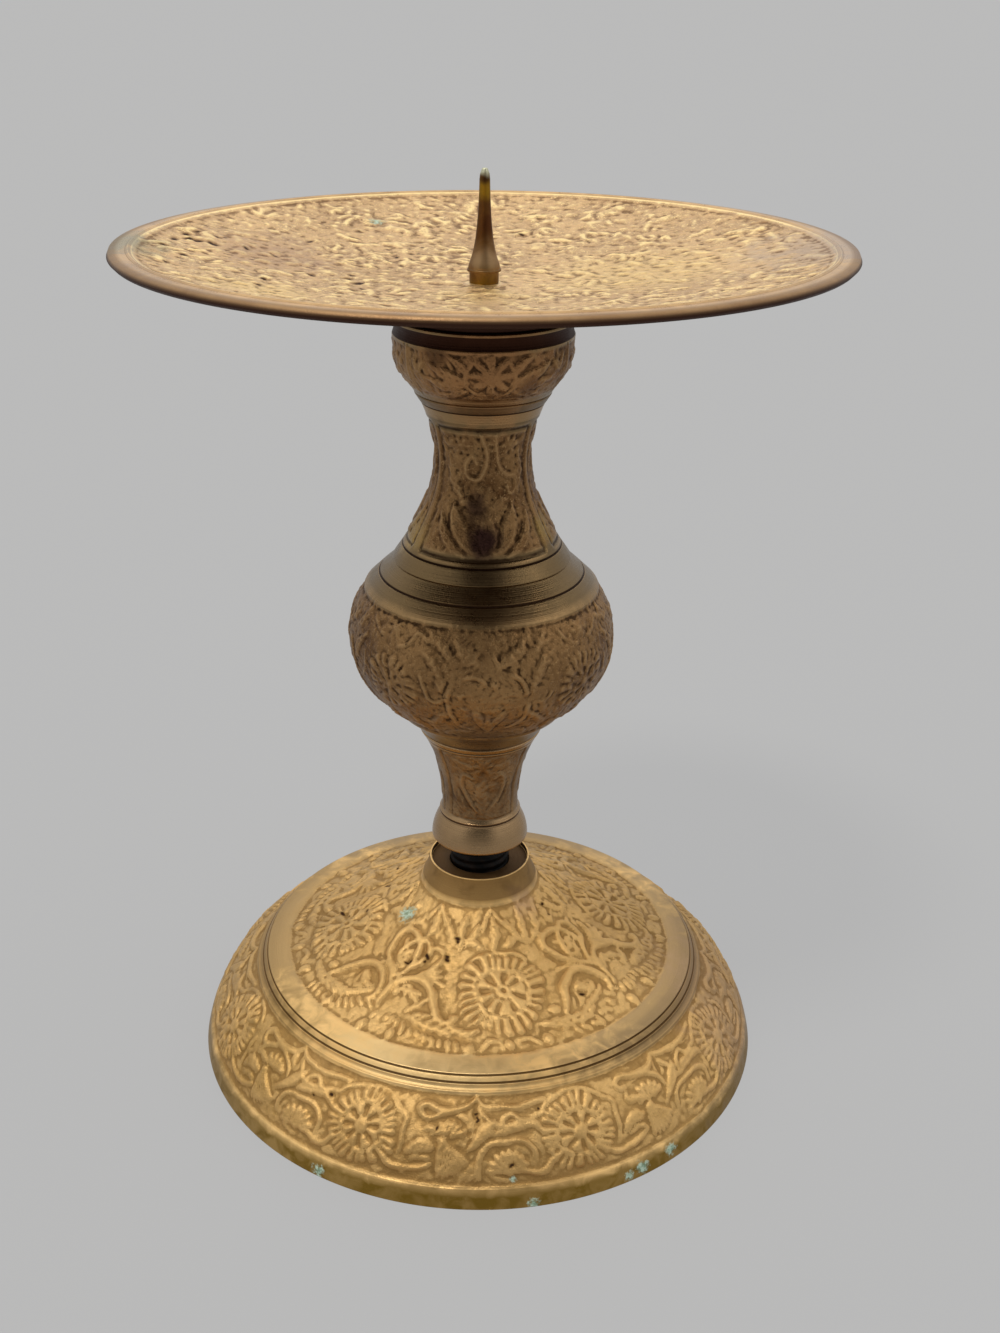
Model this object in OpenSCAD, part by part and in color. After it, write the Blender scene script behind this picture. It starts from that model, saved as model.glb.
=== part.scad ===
// Turned brass candlestick with a domed foot, a baluster stem, a wide drip pan and a pricket.
// Every piece is a casting turned on the lathe, so each one is an outline spun round the Z axis.
// The foot stands on Z = 0. The stem is drawn partly unscrewed from the foot, on its steel stud.

/* [Foot] */
// Diameter of the foot over its bottom edge
foot_d = 115.3; // [108:0.1:125]
// Height of the plain rim round the bottom
rim_h = 3.4; // [2:0.1:6]
// How far the plain rim leans in towards its top
rim_lean = 0.9; // [0.2:0.1:2]
// Height of the bulging band above the rim
band_h = 14.1; // [10:0.1:18]
// How far the bulging band draws in towards its top
band_w = 10.7; // [8:0.1:13]
// How far the band bulges past a straight cone
band_bulge = 1.6; // [0:0.1:3]
// Height of the stepped moulding above the band
moulding_h = 2.4; // [1.8:0.1:4]
// Width of the stepped moulding
moulding_w = 2; // [1.5:0.1:4]
// Width of the nearly flat shoulder inside the moulding
shoulder_w = 4.2; // [3:0.1:6]
// Rise of the shoulder towards the dome
shoulder_rise = 0.85; // [0.3:0.05:2]
// Height of the dome, from the shoulder to the collar
dome_h = 14.95; // [11:0.05:20]
// Diameter of the collar where it leaves the dome
collar_base_d = 24; // [22.5:0.1:28]
// Height of the collar
collar_h = 4.7; // [3:0.1:8]
// Width of the sharp lip round the collar's recess
collar_lip = 0.3; // [0.2:0.05:0.8]
// Depth of the recess in the collar that the bell seats in
recess_depth = 1; // [0.6:0.1:1.8]
// Wall of the foot casting
foot_wall = 2.6; // [2:0.1:3.2]
// Diameter of the threaded boss under the dome
boss_d = 21; // [17:0.1:22]
// Length of the threaded boss under the recess
boss_len = 15; // [13:0.1:20]

/* [Foot stud] */
// Diameter of the steel stud between foot and stem
stud_d = 12; // [8:0.1:12.4]
// Length of the stud that is screwed into the foot
stud_in_foot = 12; // [6:0.1:12.9]
// Length of the stud that is still in the stem
stud_in_stem = 7.1; // [4:0.1:8.5]
// Gap between the collar and the bell, as far as the stem is unscrewed
stem_gap = 4.95; // [1:0.05:6]
// Chamfer at the ends of the stud
stud_chamfer = 0.8; // [0.4:0.1:1.5]

/* [Lower stem] */
// Diameter of the bell at the bottom of the stem
bell_d = 19.3; // [18:0.1:20.4]
// Height of the bell
bell_h = 5.6; // [4:0.1:8]
// Rounding of the bell's bottom edge
bell_edge = 0.5; // [0.2:0.1:0.9]
// Diameter on top of the bell
bell_top_d = 16.2; // [15.8:0.1:18]
// Diameter of the lower waist
lower_waist_d = 15.4; // [14.6:0.1:16]
// Height from the bell to the lower waist
lower_waist_h = 3.95; // [2:0.05:6]
// Height of the flare above the lower waist
lower_flare_h = 13.85; // [10:0.05:18]
// Diameter on top of the flare
lower_flare_d = 22.3; // [19:0.1:23.5]
// Height of the ringed band on top of the flare
lower_band_h = 1.55; // [1:0.05:3]
// Diameter on top of the lower stem
lower_top_d = 24.3; // [23.8:0.1:26]
// Diameter of the spigot that joins the lower stem to the bulb
lower_spigot_d = 15; // [12:0.1:17]
// Length of the spigot that joins the lower stem to the bulb
lower_spigot_len = 6; // [4:0.1:8]

/* [Bulb] */
// Largest diameter of the bulb
bulb_d = 51; // [46:0.1:58]
// Height of the hollow moulding under the ball
cove_h = 4.3; // [3:0.1:6]
// How far the hollow moulding spreads
cove_w = 3.7; // [2.5:0.1:5]
// Height from the hollow moulding to the widest ring
ball_low_h = 15.7; // [12:0.1:20]
// Height from the widest ring to the plain shoulder
ball_high_h = 10.1; // [7:0.1:14]
// Diameter where the plain shoulder starts
ball_top_d = 43.8; // [40:0.1:45]
// Height of the plain shoulder
ball_shoulder_h = 5.1; // [4:0.1:7]
// Diameter on top of the bulb
bulb_top_d = 33.3; // [31:0.1:35]
// Wall of the hollow bulb
bulb_wall = 3; // [2:0.1:4]

/* [Neck] */
// Diameter of the spigot under the neck
neck_spigot_d = 18; // [14:0.1:22]
// Length of the spigot under the neck
neck_spigot_len = 5; // [4:0.1:7]
// Height of the ringed band at the foot of the neck
neck_band_h = 3.3; // [2:0.1:5]
// Diameter on top of the ringed band at the foot of the neck
neck_band_d = 29.2; // [27:0.1:31]
// Height from that band to the waist
neck_low_h = 16.3; // [12:0.1:22]
// Diameter of the waist
neck_waist_d = 17.9; // [15:0.1:20]
// Height from the waist to the band under the knop
neck_high_h = 9.9; // [7:0.1:14]
// Diameter under the band below the knop
neck_high_d = 22.2; // [20:0.1:24]
// Height of the band below the knop
neck_top_h = 2.2; // [1.5:0.1:4]
// Diameter on top of the neck
neck_top_d = 25; // [24.2:0.1:26.5]
// Diameter of the spigot on top of the neck
neck_top_spigot_d = 12; // [8:0.1:14]
// Length of the spigot on top of the neck
neck_top_spigot_len = 6; // [4:0.1:6.4]

/* [Knop] */
// Largest diameter of the knop
knop_d = 32.4; // [30:0.1:36]
// Height from the foot of the knop to its widest ring
knop_low_h = 7.9; // [6:0.1:10]
// Height of the straight side above that ring
knop_side_h = 2.3; // [1:0.1:5]
// Height of the hollow band under the lip
knop_hollow_h = 2.6; // [1.5:0.1:4]
// Depth of the hollow band
knop_hollow_depth = 0.35; // [0.1:0.05:0.8]
// Height of the lip on top
knop_lip_h = 0.5; // [0.3:0.1:1.2]

/* [Drip pan] */
// Diameter of the drip pan
pan_d = 127; // [110:0.1:150]
// Depth of the drip pan, from its rim to its floor
pan_depth = 7.2; // [5:0.1:12]
// Thickness of the drip pan
pan_t = 1.5; // [1:0.1:2.2]
// Width of the plain rim of the pan
pan_rim_w = 3.1; // [2:0.1:6]
// Height of the raised line inside the rim
pan_bead_h = 0.3; // [0.1:0.05:0.6]
// Width of the raised line inside the rim
pan_bead_w = 0.8; // [0.4:0.05:1.4]
// Diameter of the seat under the pan
pan_seat_d = 31.2; // [24:0.1:32]
// Height of the seat under the pan
pan_seat_h = 4; // [3:0.1:7]
// Diameter of the flat spot in the middle of the floor
pan_flat_d = 8; // [6:0.1:12]

/* [Pricket] */
// Diameter of the round plinth of the spike
plinth_d = 5.1; // [4.8:0.1:5.7]
// Height of the plinth
plinth_h = 2; // [1:0.1:3]
// Diameter of the flange on the plinth
flange_d = 5.9; // [5.8:0.1:7]
// Height of the flange
flange_h = 0.4; // [0.3:0.05:1]
// Diameter of the spike where it leaves the flange
spike_d = 5.6; // [4.4:0.1:5.7]
// Height of the hollow-sided spike up to its point
spike_h = 15.5; // [12:0.1:26]
// Diameter of the spike under its point
spike_top_d = 1.8; // [1.4:0.1:2.1]
// Height of the point
point_h = 1.17; // [0.8:0.01:3]
// Diameter of the blunt end of the point
point_d = 0.9; // [0.3:0.05:1.1]
// Diameter of the shank that holds the spike
shank_d = 4; // [3:0.1:4.2]
// Length of the shank that is screwed into the knop
shank_in_knop = 6.5; // [4:0.1:6.6]

/* [Fits] */
// Clearance round a screwed or plugged joint
fit = 0.05; // [0.02:0.01:0.1]
// Clearance round the bell in the collar's recess
bell_clear = 0.17; // [0.1:0.01:0.3]
// Spare depth at the end of a blind hole
hole_spare = 0.6; // [0.3:0.1:1]
// Small bevel where two castings meet
joint_bevel = 0.22; // [0.1:0.01:0.4]
// Width of a fine turned line
line_w = 0.4; // [0.2:0.05:0.7]
// Depth of a fine turned line
line_depth = 0.3; // [0.1:0.05:0.5]

/* [Hidden] */
$fn = 96;
steps = 14;
overrun = 1;
same_point = line_w / 100;

foot_r = foot_d / 2;
rim_top = [foot_r - rim_lean, rim_h];
band_top = rim_top + [-band_w, band_h];
shoulder_edge = band_top + [-moulding_w, moulding_h];
dome_edge = shoulder_edge + [-shoulder_w, shoulder_rise];
collar_base = [collar_base_d / 2, dome_edge[1] + dome_h];
foot_top = collar_base[1] + collar_h;
recess_r = bell_d / 2 + bell_clear;
recess_z = foot_top - recess_depth;
boss_z = recess_z - boss_len;
stud_len = stud_in_foot + recess_depth + stem_gap + stud_in_stem;

lower_z = foot_top + stem_gap;
lower_h = bell_h + lower_waist_h + lower_flare_h + lower_band_h;
socket_depth = stud_in_stem + stem_gap + recess_depth + hole_spare;
bulb_z = lower_z + lower_h;
bulb_h = cove_h + ball_low_h + ball_high_h + ball_shoulder_h;
neck_z = bulb_z + bulb_h;
neck_h = neck_band_h + neck_low_h + neck_high_h + neck_top_h;
knop_z = neck_z + neck_h;
knop_h = knop_low_h + knop_side_h + knop_hollow_h + knop_lip_h;
pan_z = knop_z + knop_h;
floor_z = pan_z + pan_seat_h + pan_t;
shank_len = pan_t + pan_seat_h + shank_in_knop;

// Where each curve leaves its first point and arrives at its last: shares of the way across and up
dome_leave_share = [0.36, 0.27];
dome_arrive_share = [0.29, 0.48];
waist_leave_share = [0.84, 0];
waist_arrive_share = [0, 0.37];
flare_leave_share = [0, 0.34];
flare_arrive_share = [0.62, 0.32];
cove_leave_share = [0.27, 0.43];
cove_arrive_share = [0.43, 0.26];
ball_leave_share = [0.09, 0.08];
ball_arrive_share = [0, 0.62];
crown_leave_share = [0, 0.56];
crown_arrive_share = [0.1, 0.05];
neck_leave_share = [0.45, 0.34];
neck_arrive_share = [0, 0.4];
neck_rise_share = [0, 0.42];
neck_meet_share = [0.4, 0.2];
knop_leave_share = [0.16, 0.16];
knop_arrive_share = [0, 0.62];
spike_leave_share = [0, 0.11];
spike_arrive_share = [0.12, 0.92];

// Shares of the stepped moulding and of the ringed bands where their parts and turned lines lie
moulding_hollow_share = 0.36;
low_line_share = 0.16;
high_line_share = 0.86;
mid_line_share = 0.5;
bell_round_share = 0.2;

// Smooth curve from p to q, with its handles as shares of the way across and up
function sweep(p, q, leave, arrive) =
    let(a = p + [leave[0] * (q[0] - p[0]), leave[1] * (q[1] - p[1])])
    let(b = q - [arrive[0] * (q[0] - p[0]), arrive[1] * (q[1] - p[1])])
    [for (i = [0:steps])
        let(t = i / steps, s = 1 - t)
        s * s * s * p + 3 * s * s * t * a + 3 * s * t * t * b + t * t * t * q];

// Curve from p to q that bulges by rise to the right of the way, or hollows where rise is negative
function bow(p, q, rise) =
    let(n = [q[1] - p[1], p[0] - q[0]] / norm(q - p))
    [for (i = [0:steps])
        let(t = i / steps)
        p + t * (q - p) + 4 * t * (1 - t) * rise * n];

// Fine turned line on the straight stretch from p to q, at a share of its length
function turned_line(p, q, at_share) =
    let(u = (q - p) / norm(q - p), m = p + at_share * (q - p))
    [m - line_w / 2 * u, m + line_depth * [-u[1], u[0]], m + line_w / 2 * u];

// Line parallel to an outline, moved to the left of the way by the wall
function inset(pts, wall) =
    let(last = len(pts) - 1)
    [for (i = [0:last])
        let(d = pts[min(i + 1, last)] - pts[max(i - 1, 0)])
        pts[i] + wall * [-d[1], d[0]] / norm(d)];

// Outline without its repeated points
function tidy(pts) =
    [for (i = [0:len(pts) - 1])
        if (i == 0 || norm(pts[i] - pts[max(i - 1, 0)]) > same_point)
            pts[i]];

// Solid of revolution of an outline
module turned(pts) {
    rotate_extrude()
        polygon(tidy(pts));
}

// Round hole or round peg from height z up by len
module round_bar(d, z, len) {
    translate([0, 0, z])
        cylinder(d = d, h = len);
}

// Outer skin of the foot from the floor to the collar, without its fine lines
foot_band = bow(rim_top, band_top, band_bulge);
foot_dome = sweep(dome_edge, collar_base, dome_leave_share, dome_arrive_share);
foot_skin = concat([[foot_r, 0]], foot_band, [shoulder_edge], foot_dome);

// Stepped moulding of the foot: a hollow, then a fillet between two turned lines
moulding_mid = band_top + moulding_hollow_share * [-moulding_w, moulding_h];
foot_moulding = concat(
    bow(band_top, moulding_mid, -line_depth),
    turned_line(moulding_mid, shoulder_edge, low_line_share),
    turned_line(moulding_mid, shoulder_edge, high_line_share),
    [shoulder_edge]);

// Domed foot casting with its collar, recess and threaded boss
module foot() {
    lip_r = recess_r + collar_lip;
    cavity = inset(foot_skin, foot_wall);
    color([0.72, 0.53, 0.27])
    difference() {
        union() {
            difference() {
                turned(concat(
                    [[0, 0], [foot_r, 0]],
                    foot_band,
                    foot_moulding,
                    foot_dome,
                    bow(collar_base, [lip_r, foot_top], -line_depth),
                    [[0, foot_top]]));
                turned(concat(
                    [[0, -overrun], [cavity[0][0], -overrun]],
                    cavity,
                    [[0, cavity[len(cavity) - 1][1]]]));
            }
            round_bar(boss_d, boss_z, collar_base[1] - boss_z);
        }
        round_bar(stud_d + 2 * fit, boss_z - overrun, boss_len + 2 * overrun);
        round_bar(2 * recess_r, recess_z, recess_depth + overrun);
    }
}

// Steel stud with a chamfer at each end
module foot_stud() {
    r = stud_d / 2;
    bevel = stud_chamfer;
    color([0.08, 0.08, 0.09])
    translate([0, 0, recess_z - stud_in_foot])
        turned([
            [0, 0],
            [r - bevel, 0],
            [r, bevel],
            [r, stud_len - bevel],
            [r - bevel, stud_len],
            [0, stud_len]]);
}

// Bell, lower waist and flare of the stem, with the socket for the stud
module lower_stem() {
    bell_r = bell_d / 2;
    bell_top = [bell_top_d / 2, bell_h];
    waist = [lower_waist_d / 2, bell_h + lower_waist_h];
    flare_top = [lower_flare_d / 2, waist[1] + lower_flare_h];
    top = [lower_top_d / 2, lower_h];
    color([0.47, 0.36, 0.2])
    translate([0, 0, lower_z])
    difference() {
        turned(concat(
            [[0, 0], [bell_r - bell_edge, 0]],
            bow([bell_r - bell_edge, 0], [bell_r, bell_edge], bell_round_share * bell_edge),
            bow([bell_r, 2 * bell_edge], bell_top, line_depth),
            turned_line(bell_top, bell_top + [0, 2 * line_w], mid_line_share),
            sweep(bell_top + [0, 2 * line_w], waist, waist_leave_share, waist_arrive_share),
            sweep(waist, flare_top, flare_leave_share, flare_arrive_share),
            turned_line(flare_top, top, low_line_share),
            [top - [joint_bevel, joint_bevel], [top[0] - 2 * joint_bevel, lower_h]],
            [[lower_spigot_d / 2, lower_h]],
            [[lower_spigot_d / 2, lower_h + lower_spigot_len], [0, lower_h + lower_spigot_len]]));
        round_bar(stud_d + 2 * fit, -overrun, socket_depth + overrun);
    }
}

// Hollow chased ball of the stem, with its plain shoulder
module bulb() {
    low = [lower_top_d / 2, 0];
    cove_top = low + [cove_w, cove_h];
    widest = [bulb_d / 2, cove_h + ball_low_h];
    crown = [ball_top_d / 2, widest[1] + ball_high_h];
    top = [bulb_top_d / 2, bulb_h];
    ball = concat(
        sweep(cove_top, widest, ball_leave_share, ball_arrive_share),
        sweep(widest, crown, crown_leave_share, crown_arrive_share));
    cavity = inset(ball, bulb_wall);
    cavity_end = cavity[len(cavity) - 1];
    color([0.45, 0.34, 0.18])
    translate([0, 0, bulb_z])
    difference() {
        turned(concat(
            [[0, 0], low - [2 * joint_bevel, 0], low + [-joint_bevel, joint_bevel]],
            sweep(low + [0, 2 * joint_bevel], cove_top, cove_leave_share, cove_arrive_share),
            ball,
            turned_line(crown, top, mid_line_share),
            [top - [0, joint_bevel], top - [joint_bevel, 0], [0, bulb_h]]));
        turned(concat([[0, cavity[0][1]]], cavity, [[0, cavity_end[1]]]));
        round_bar(lower_spigot_d + 2 * fit, -overrun, cavity[0][1] + 2 * overrun);
        round_bar(neck_spigot_d + 2 * fit, cavity_end[1] - overrun, bulb_h);
    }
}

// Tall neck of the stem, with a spigot at each end
module neck() {
    low = [bulb_top_d / 2, 0];
    band = [neck_band_d / 2, neck_band_h];
    waist = [neck_waist_d / 2, neck_band_h + neck_low_h];
    high = [neck_high_d / 2, waist[1] + neck_high_h];
    top = [neck_top_d / 2, neck_h];
    top_spigot_r = neck_top_spigot_d / 2;
    spigot_end = neck_h + neck_top_spigot_len;
    color([0.5, 0.38, 0.21])
    translate([0, 0, neck_z])
        turned(concat(
            [[0, -neck_spigot_len], [neck_spigot_d / 2, -neck_spigot_len], [neck_spigot_d / 2, 0]],
            [low - [joint_bevel, 0], low + [0, joint_bevel]],
            turned_line(low, band, high_line_share),
            sweep(band, waist, neck_leave_share, neck_arrive_share),
            sweep(waist, high, neck_rise_share, neck_meet_share),
            turned_line(high, top, low_line_share),
            [top - [joint_bevel / 2, joint_bevel], top - [joint_bevel, 0]],
            [[top_spigot_r, neck_h], [top_spigot_r, spigot_end], [0, spigot_end]]));
}

// Cushion under the pan, with its hollow band and lip
module knop() {
    knop_r = knop_d / 2;
    low = [neck_top_d / 2, 0];
    widest = [knop_r, knop_low_h];
    hollow_z = knop_low_h + knop_side_h;
    lip_z = hollow_z + knop_hollow_h;
    socket_h = neck_top_spigot_len + hole_spare;
    color([0.48, 0.36, 0.2])
    translate([0, 0, knop_z])
    difference() {
        turned(concat(
            [[0, 0], low - [joint_bevel, 0], low + [0, joint_bevel]],
            sweep(low + [0, joint_bevel], widest, knop_leave_share, knop_arrive_share),
            bow([knop_r, hollow_z], [knop_r, lip_z], -knop_hollow_depth),
            [[knop_r, knop_h - joint_bevel], [knop_r - joint_bevel, knop_h], [0, knop_h]]));
        round_bar(neck_top_spigot_d + 2 * fit, -overrun, socket_h + overrun);
        round_bar(shank_d + 2 * fit, socket_h - overrun, knop_h);
    }
}

// Shallow drip pan with a plain rim, a raised line and the seat beneath
module drip_pan() {
    flat_r = pan_flat_d / 2;
    edge_r = pan_t / 2;
    rim_r = pan_d / 2 - pan_rim_w;
    bead_r = rim_r - pan_bead_w;
    edge = [pan_d / 2 - edge_r, pan_depth - edge_r];
    bowl = [for (i = [0:2 * steps])
        let(t = i / steps / 2)
        [flat_r + t * (bead_r - flat_r), t * t * pan_depth]];
    drop = [0, pan_t];
    color([0.76, 0.6, 0.4])
    translate([0, 0, floor_z])
    difference() {
        union() {
            turned(concat(
                [-drop],
                [for (p = bowl) p - drop],
                [for (i = [0:steps])
                    let(a = 180 * i / steps)
                    edge + edge_r * [sin(a), -cos(a)]],
                [[rim_r, pan_depth], [rim_r - pan_bead_w / 2, pan_depth + pan_bead_h]],
                [for (i = [0:2 * steps]) bowl[2 * steps - i]],
                [[0, 0]]));
            turned([
                [0, -pan_t / 2],
                [0, -pan_t - pan_seat_h],
                [pan_seat_d / 2 - joint_bevel, -pan_t - pan_seat_h],
                [pan_seat_d / 2, joint_bevel - pan_t - pan_seat_h],
                [pan_seat_d / 2, -pan_t / 2]]);
        }
        round_bar(shank_d + 2 * fit, -pan_t - pan_seat_h - overrun, pan_t + pan_seat_h + 2 * overrun);
    }
}

// Turned spike with its plinth, flange and threaded shank
module pricket() {
    shank_r = shank_d / 2;
    spike_z = plinth_h + flange_h;
    spike_top = [spike_top_d / 2, spike_z + spike_h];
    color([0.38, 0.29, 0.14])
    translate([0, 0, floor_z])
        turned(concat(
            [[0, -shank_len], [shank_r - joint_bevel, -shank_len]],
            [[shank_r, joint_bevel - shank_len], [shank_r, 0]],
            [[plinth_d / 2, 0], [plinth_d / 2, plinth_h]],
            [[flange_d / 2, plinth_h], [flange_d / 2, spike_z], [spike_d / 2, spike_z]],
            sweep([spike_d / 2, spike_z], spike_top, spike_leave_share, spike_arrive_share),
            [[point_d / 2, spike_top[1] + point_h], [0, spike_top[1] + point_h]]));
}

foot();
foot_stud();
lower_stem();
bulb();
neck();
knop();
drip_pan();
pricket();
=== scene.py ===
"""Looks of a chased brass pricket candlestick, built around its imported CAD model.

Every piece is turned, so its mesh is spun again from the outline of its CAD node, with many more rings, and
the chased ornament is raised on it. Lengths are in mm in the drawing functions and in metres in the meshes.
Angles are in degrees round the axis: 0 faces the camera, along -Y, and 90 is to the right, along +X.
"""

import math
from types import SimpleNamespace

import bmesh
import bpy
import numpy as np
from mathutils import Matrix, Vector


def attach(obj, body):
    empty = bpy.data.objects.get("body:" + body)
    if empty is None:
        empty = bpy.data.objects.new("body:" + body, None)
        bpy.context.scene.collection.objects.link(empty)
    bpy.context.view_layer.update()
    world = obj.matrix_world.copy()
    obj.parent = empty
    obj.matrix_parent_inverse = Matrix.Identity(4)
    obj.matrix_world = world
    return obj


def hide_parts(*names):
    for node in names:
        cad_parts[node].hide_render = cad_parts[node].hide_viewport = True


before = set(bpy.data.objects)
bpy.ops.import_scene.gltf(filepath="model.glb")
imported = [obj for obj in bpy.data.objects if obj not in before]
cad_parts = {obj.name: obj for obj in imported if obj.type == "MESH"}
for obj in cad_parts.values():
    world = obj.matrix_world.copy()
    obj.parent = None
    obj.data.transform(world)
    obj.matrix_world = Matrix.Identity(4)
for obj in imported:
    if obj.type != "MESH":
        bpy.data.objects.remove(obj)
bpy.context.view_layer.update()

MM = 0.001

# Photograph: size in pixels, where the axis stands in it, and the camera that took it
PHOTO_W, PHOTO_H = 1000, 1333
AXIS_X = 481
FOCAL_PX = 1534.5
CAMERA_BACK, CAMERA_UP, CAMERA_DOWN_DEG, CAMERA_ROLL_DEG = 0.270, 0.2071, 24.77, 0.45
SENSOR = 36

# Outlines: welding distance in metres, angle of the cut in radians, snapping distance in mm and the turn in
# degrees that makes a corner
WELD = 1e-7
CUT_ANGLE = 0.1234
SNAP = 0.06
CORNER_DEG = 20
# A corner is softened over EDGE_SOFT mm, but over no more than SOFT_SHARE of a stretch. Stretches longer
# than LONG_STRETCH have one more ring beside each corner
EDGE_SOFT, SOFT_SHARE = 0.11, 0.3
LONG_STRETCH = 8 * EDGE_SOFT
# Rings: the step of plain ones and the fewest vertices round one. Within POLE of the axis a ring is a point
PLAIN_STEP, FEWEST_ROUND, POLE = 0.9, 72, 1e-4
# Step of a search along a stretch, the run that counts as none, and the least divisor
SEARCH_STEP, NO_LENGTH, TINY = 0.02, 1e-6, 1e-12


def unit(v):
    """Vector of length 1."""
    return v / np.linalg.norm(v)


def cad_outline(node):
    """Corners (radius, height) in mm of a turned CAD node's outline, in order, anticlockwise."""
    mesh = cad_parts[node].data
    places = np.array([v.co for v in mesh.vertices]) / MM
    rings = np.unique(np.round(np.c_[np.hypot(places[:, 0], places[:, 1]), places[:, 2]], 2), axis=0)
    bm = bmesh.new()
    bm.from_mesh(mesh)
    bmesh.ops.remove_doubles(bm, verts=bm.verts[:], dist=WELD)
    out = Vector((math.cos(CUT_ANGLE), math.sin(CUT_ANGLE), 0))
    side = Vector((-out.y, out.x, 0))
    every = bm.verts[:] + bm.edges[:] + bm.faces[:]
    bmesh.ops.bisect_plane(bm, geom=every, plane_co=(0, 0, 0), plane_no=out, clear_inner=True)
    every = bm.verts[:] + bm.edges[:] + bm.faces[:]
    cut = bmesh.ops.bisect_plane(bm, geom=every, plane_co=(0, 0, 0), plane_no=side)["geom_cut"]
    links = {}
    for edge in (e for e in cut if isinstance(e, bmesh.types.BMEdge)):
        a, b = edge.verts
        links.setdefault(a, []).append(b)
        links.setdefault(b, []).append(a)
    ends = [v for v in links if len(links[v]) == 1]
    at = min(ends or links, key=lambda v: v.co.z)
    way, last = [at], None
    while True:
        onward = [v for v in links[way[-1]] if v is not last and (v not in way or v is way[0])]
        if not onward or onward[0] is way[0] and len(way) > 2:
            break
        last = way[-1]
        way.append(onward[0])
    line = np.array([(v.co.dot(out) / MM, v.co.z / MM) for v in way])
    closed = not ends
    bm.free()
    line = snapped(line, rings)
    turn = np.roll(line, -1, 0)
    if (line[:, 0] * turn[:, 1] - line[:, 1] * turn[:, 0]).sum() < 0:
        line = line[::-1]
    return line, closed


def snapped(line, rings):
    """The line's points moved onto the nearest true ring of the node, without the points between rings."""
    kept = []
    for p in line:
        if p[0] < SNAP:
            q = np.array([0, p[1]])
        else:
            gap = np.hypot(*(rings - p).T)
            if gap.min() > SNAP:
                continue
            q = rings[gap.argmin()]
        if not kept or np.hypot(*(q - kept[-1])) > SNAP / 2:
            kept.append(q)
    if len(kept) > 1 and np.hypot(*(kept[0] - kept[-1])) < SNAP / 2:
        kept.pop()
    return np.array(kept)


def stretches(node):
    """The node's outline as smooth stretches between its corners, and whether it is a closed loop."""
    line, closed = cad_outline(node)
    count = len(line)
    back = unit_rows(line - np.roll(line, 1, 0))
    ahead = np.roll(back, -1, 0)
    turning = np.degrees(np.arccos(np.clip((back * ahead).sum(1), -1, 1)))
    corners = [i for i in range(count) if turning[i] > CORNER_DEG]
    if not closed:
        corners = sorted(set(corners) | {0, count - 1})
    pairs = list(zip(corners, corners[1:]))
    if closed:
        pairs.append((corners[-1], corners[0] + count))
    return [line[np.arange(a, b + 1) % count] for a, b in pairs], closed


def unit_rows(rows):
    """Each row as a vector of length 1."""
    return rows / np.maximum(np.linalg.norm(rows, axis=1), TINY)[:, None]


def lengths(points):
    """Length along a line up to each of its points."""
    return np.r_[0, np.cumsum(np.linalg.norm(np.diff(points, axis=0), axis=1))]


def on_curve(points, at, slope, runs):
    """Places at runs on the smooth curve that passes each point, with its slope, at its own run."""
    i = np.clip(np.searchsorted(at, runs, side="right") - 1, 0, len(at) - 2)
    step = (at[i + 1] - at[i])[:, None]
    t = (runs - at[i])[:, None] / step
    return ((2 * t**3 - 3 * t**2 + 1) * points[i] + (t**3 - 2 * t**2 + t) * step * slope[i]
            + (3 * t**2 - 2 * t**3) * points[i + 1] + (t**3 - t**2) * step * slope[i + 1])


def smooth_line(points, runs):
    """Places at the given runs on a smooth curve through the points."""
    points = np.asarray(points, float)
    at = lengths(points)
    if len(points) == 2:
        share = (runs / at[-1])[:, None]
        return points[0] * (1 - share) + points[1] * share
    slope = np.gradient(points, at, axis=0)
    slope[0] = 2 * (points[1] - points[0]) / (at[1] - at[0]) - slope[1]
    slope[-1] = 2 * (points[-1] - points[-2]) / (at[-1] - at[-2]) - slope[-2]
    return on_curve(points, at, slope, runs)


def nearest_run(points, spot):
    """Run of the point of a stretch nearest to a place (radius, height), and its distance."""
    total = lengths(points)[-1]
    runs = np.linspace(0, total, max(2, math.ceil(total / SEARCH_STEP)))
    gaps = np.hypot(*(smooth_line(points, runs) - spot).T)
    return runs[gaps.argmin()], gaps.min()


def zone(parts, draw, start, stop, step):
    """An ornamented zone between two places of one stretch, drawn by a function, with its own step in mm."""
    ends = [[nearest_run(points, spot) for spot in (start, stop)] for points in parts]
    k = min(range(len(parts)), key=lambda k: ends[k][0][1] + ends[k][1][1])
    low, high = sorted(run for run, _ in ends[k])
    return SimpleNamespace(draw=draw, part=k, low=low, high=high, step=step)


def stretch_runs(low, high, zones):
    """Runs of a stretch's rings, and the step at each: wide outside its zones, and the zone's own inside."""
    rows, at = [(low, PLAIN_STEP)], low
    spans = []
    for z in sorted(zones, key=lambda z: z.low):
        spans += [(at, z.low, PLAIN_STEP), (max(at, z.low), min(z.high, high), z.step)]
        at = z.high
    spans.append((at, high, PLAIN_STEP))
    for a, b, step in spans:
        if b - a > NO_LENGTH:
            rows += [(run, step) for run in np.linspace(a, b, max(1, math.ceil((b - a) / step)) + 1)[1:]]
    return np.array(rows)


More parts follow.
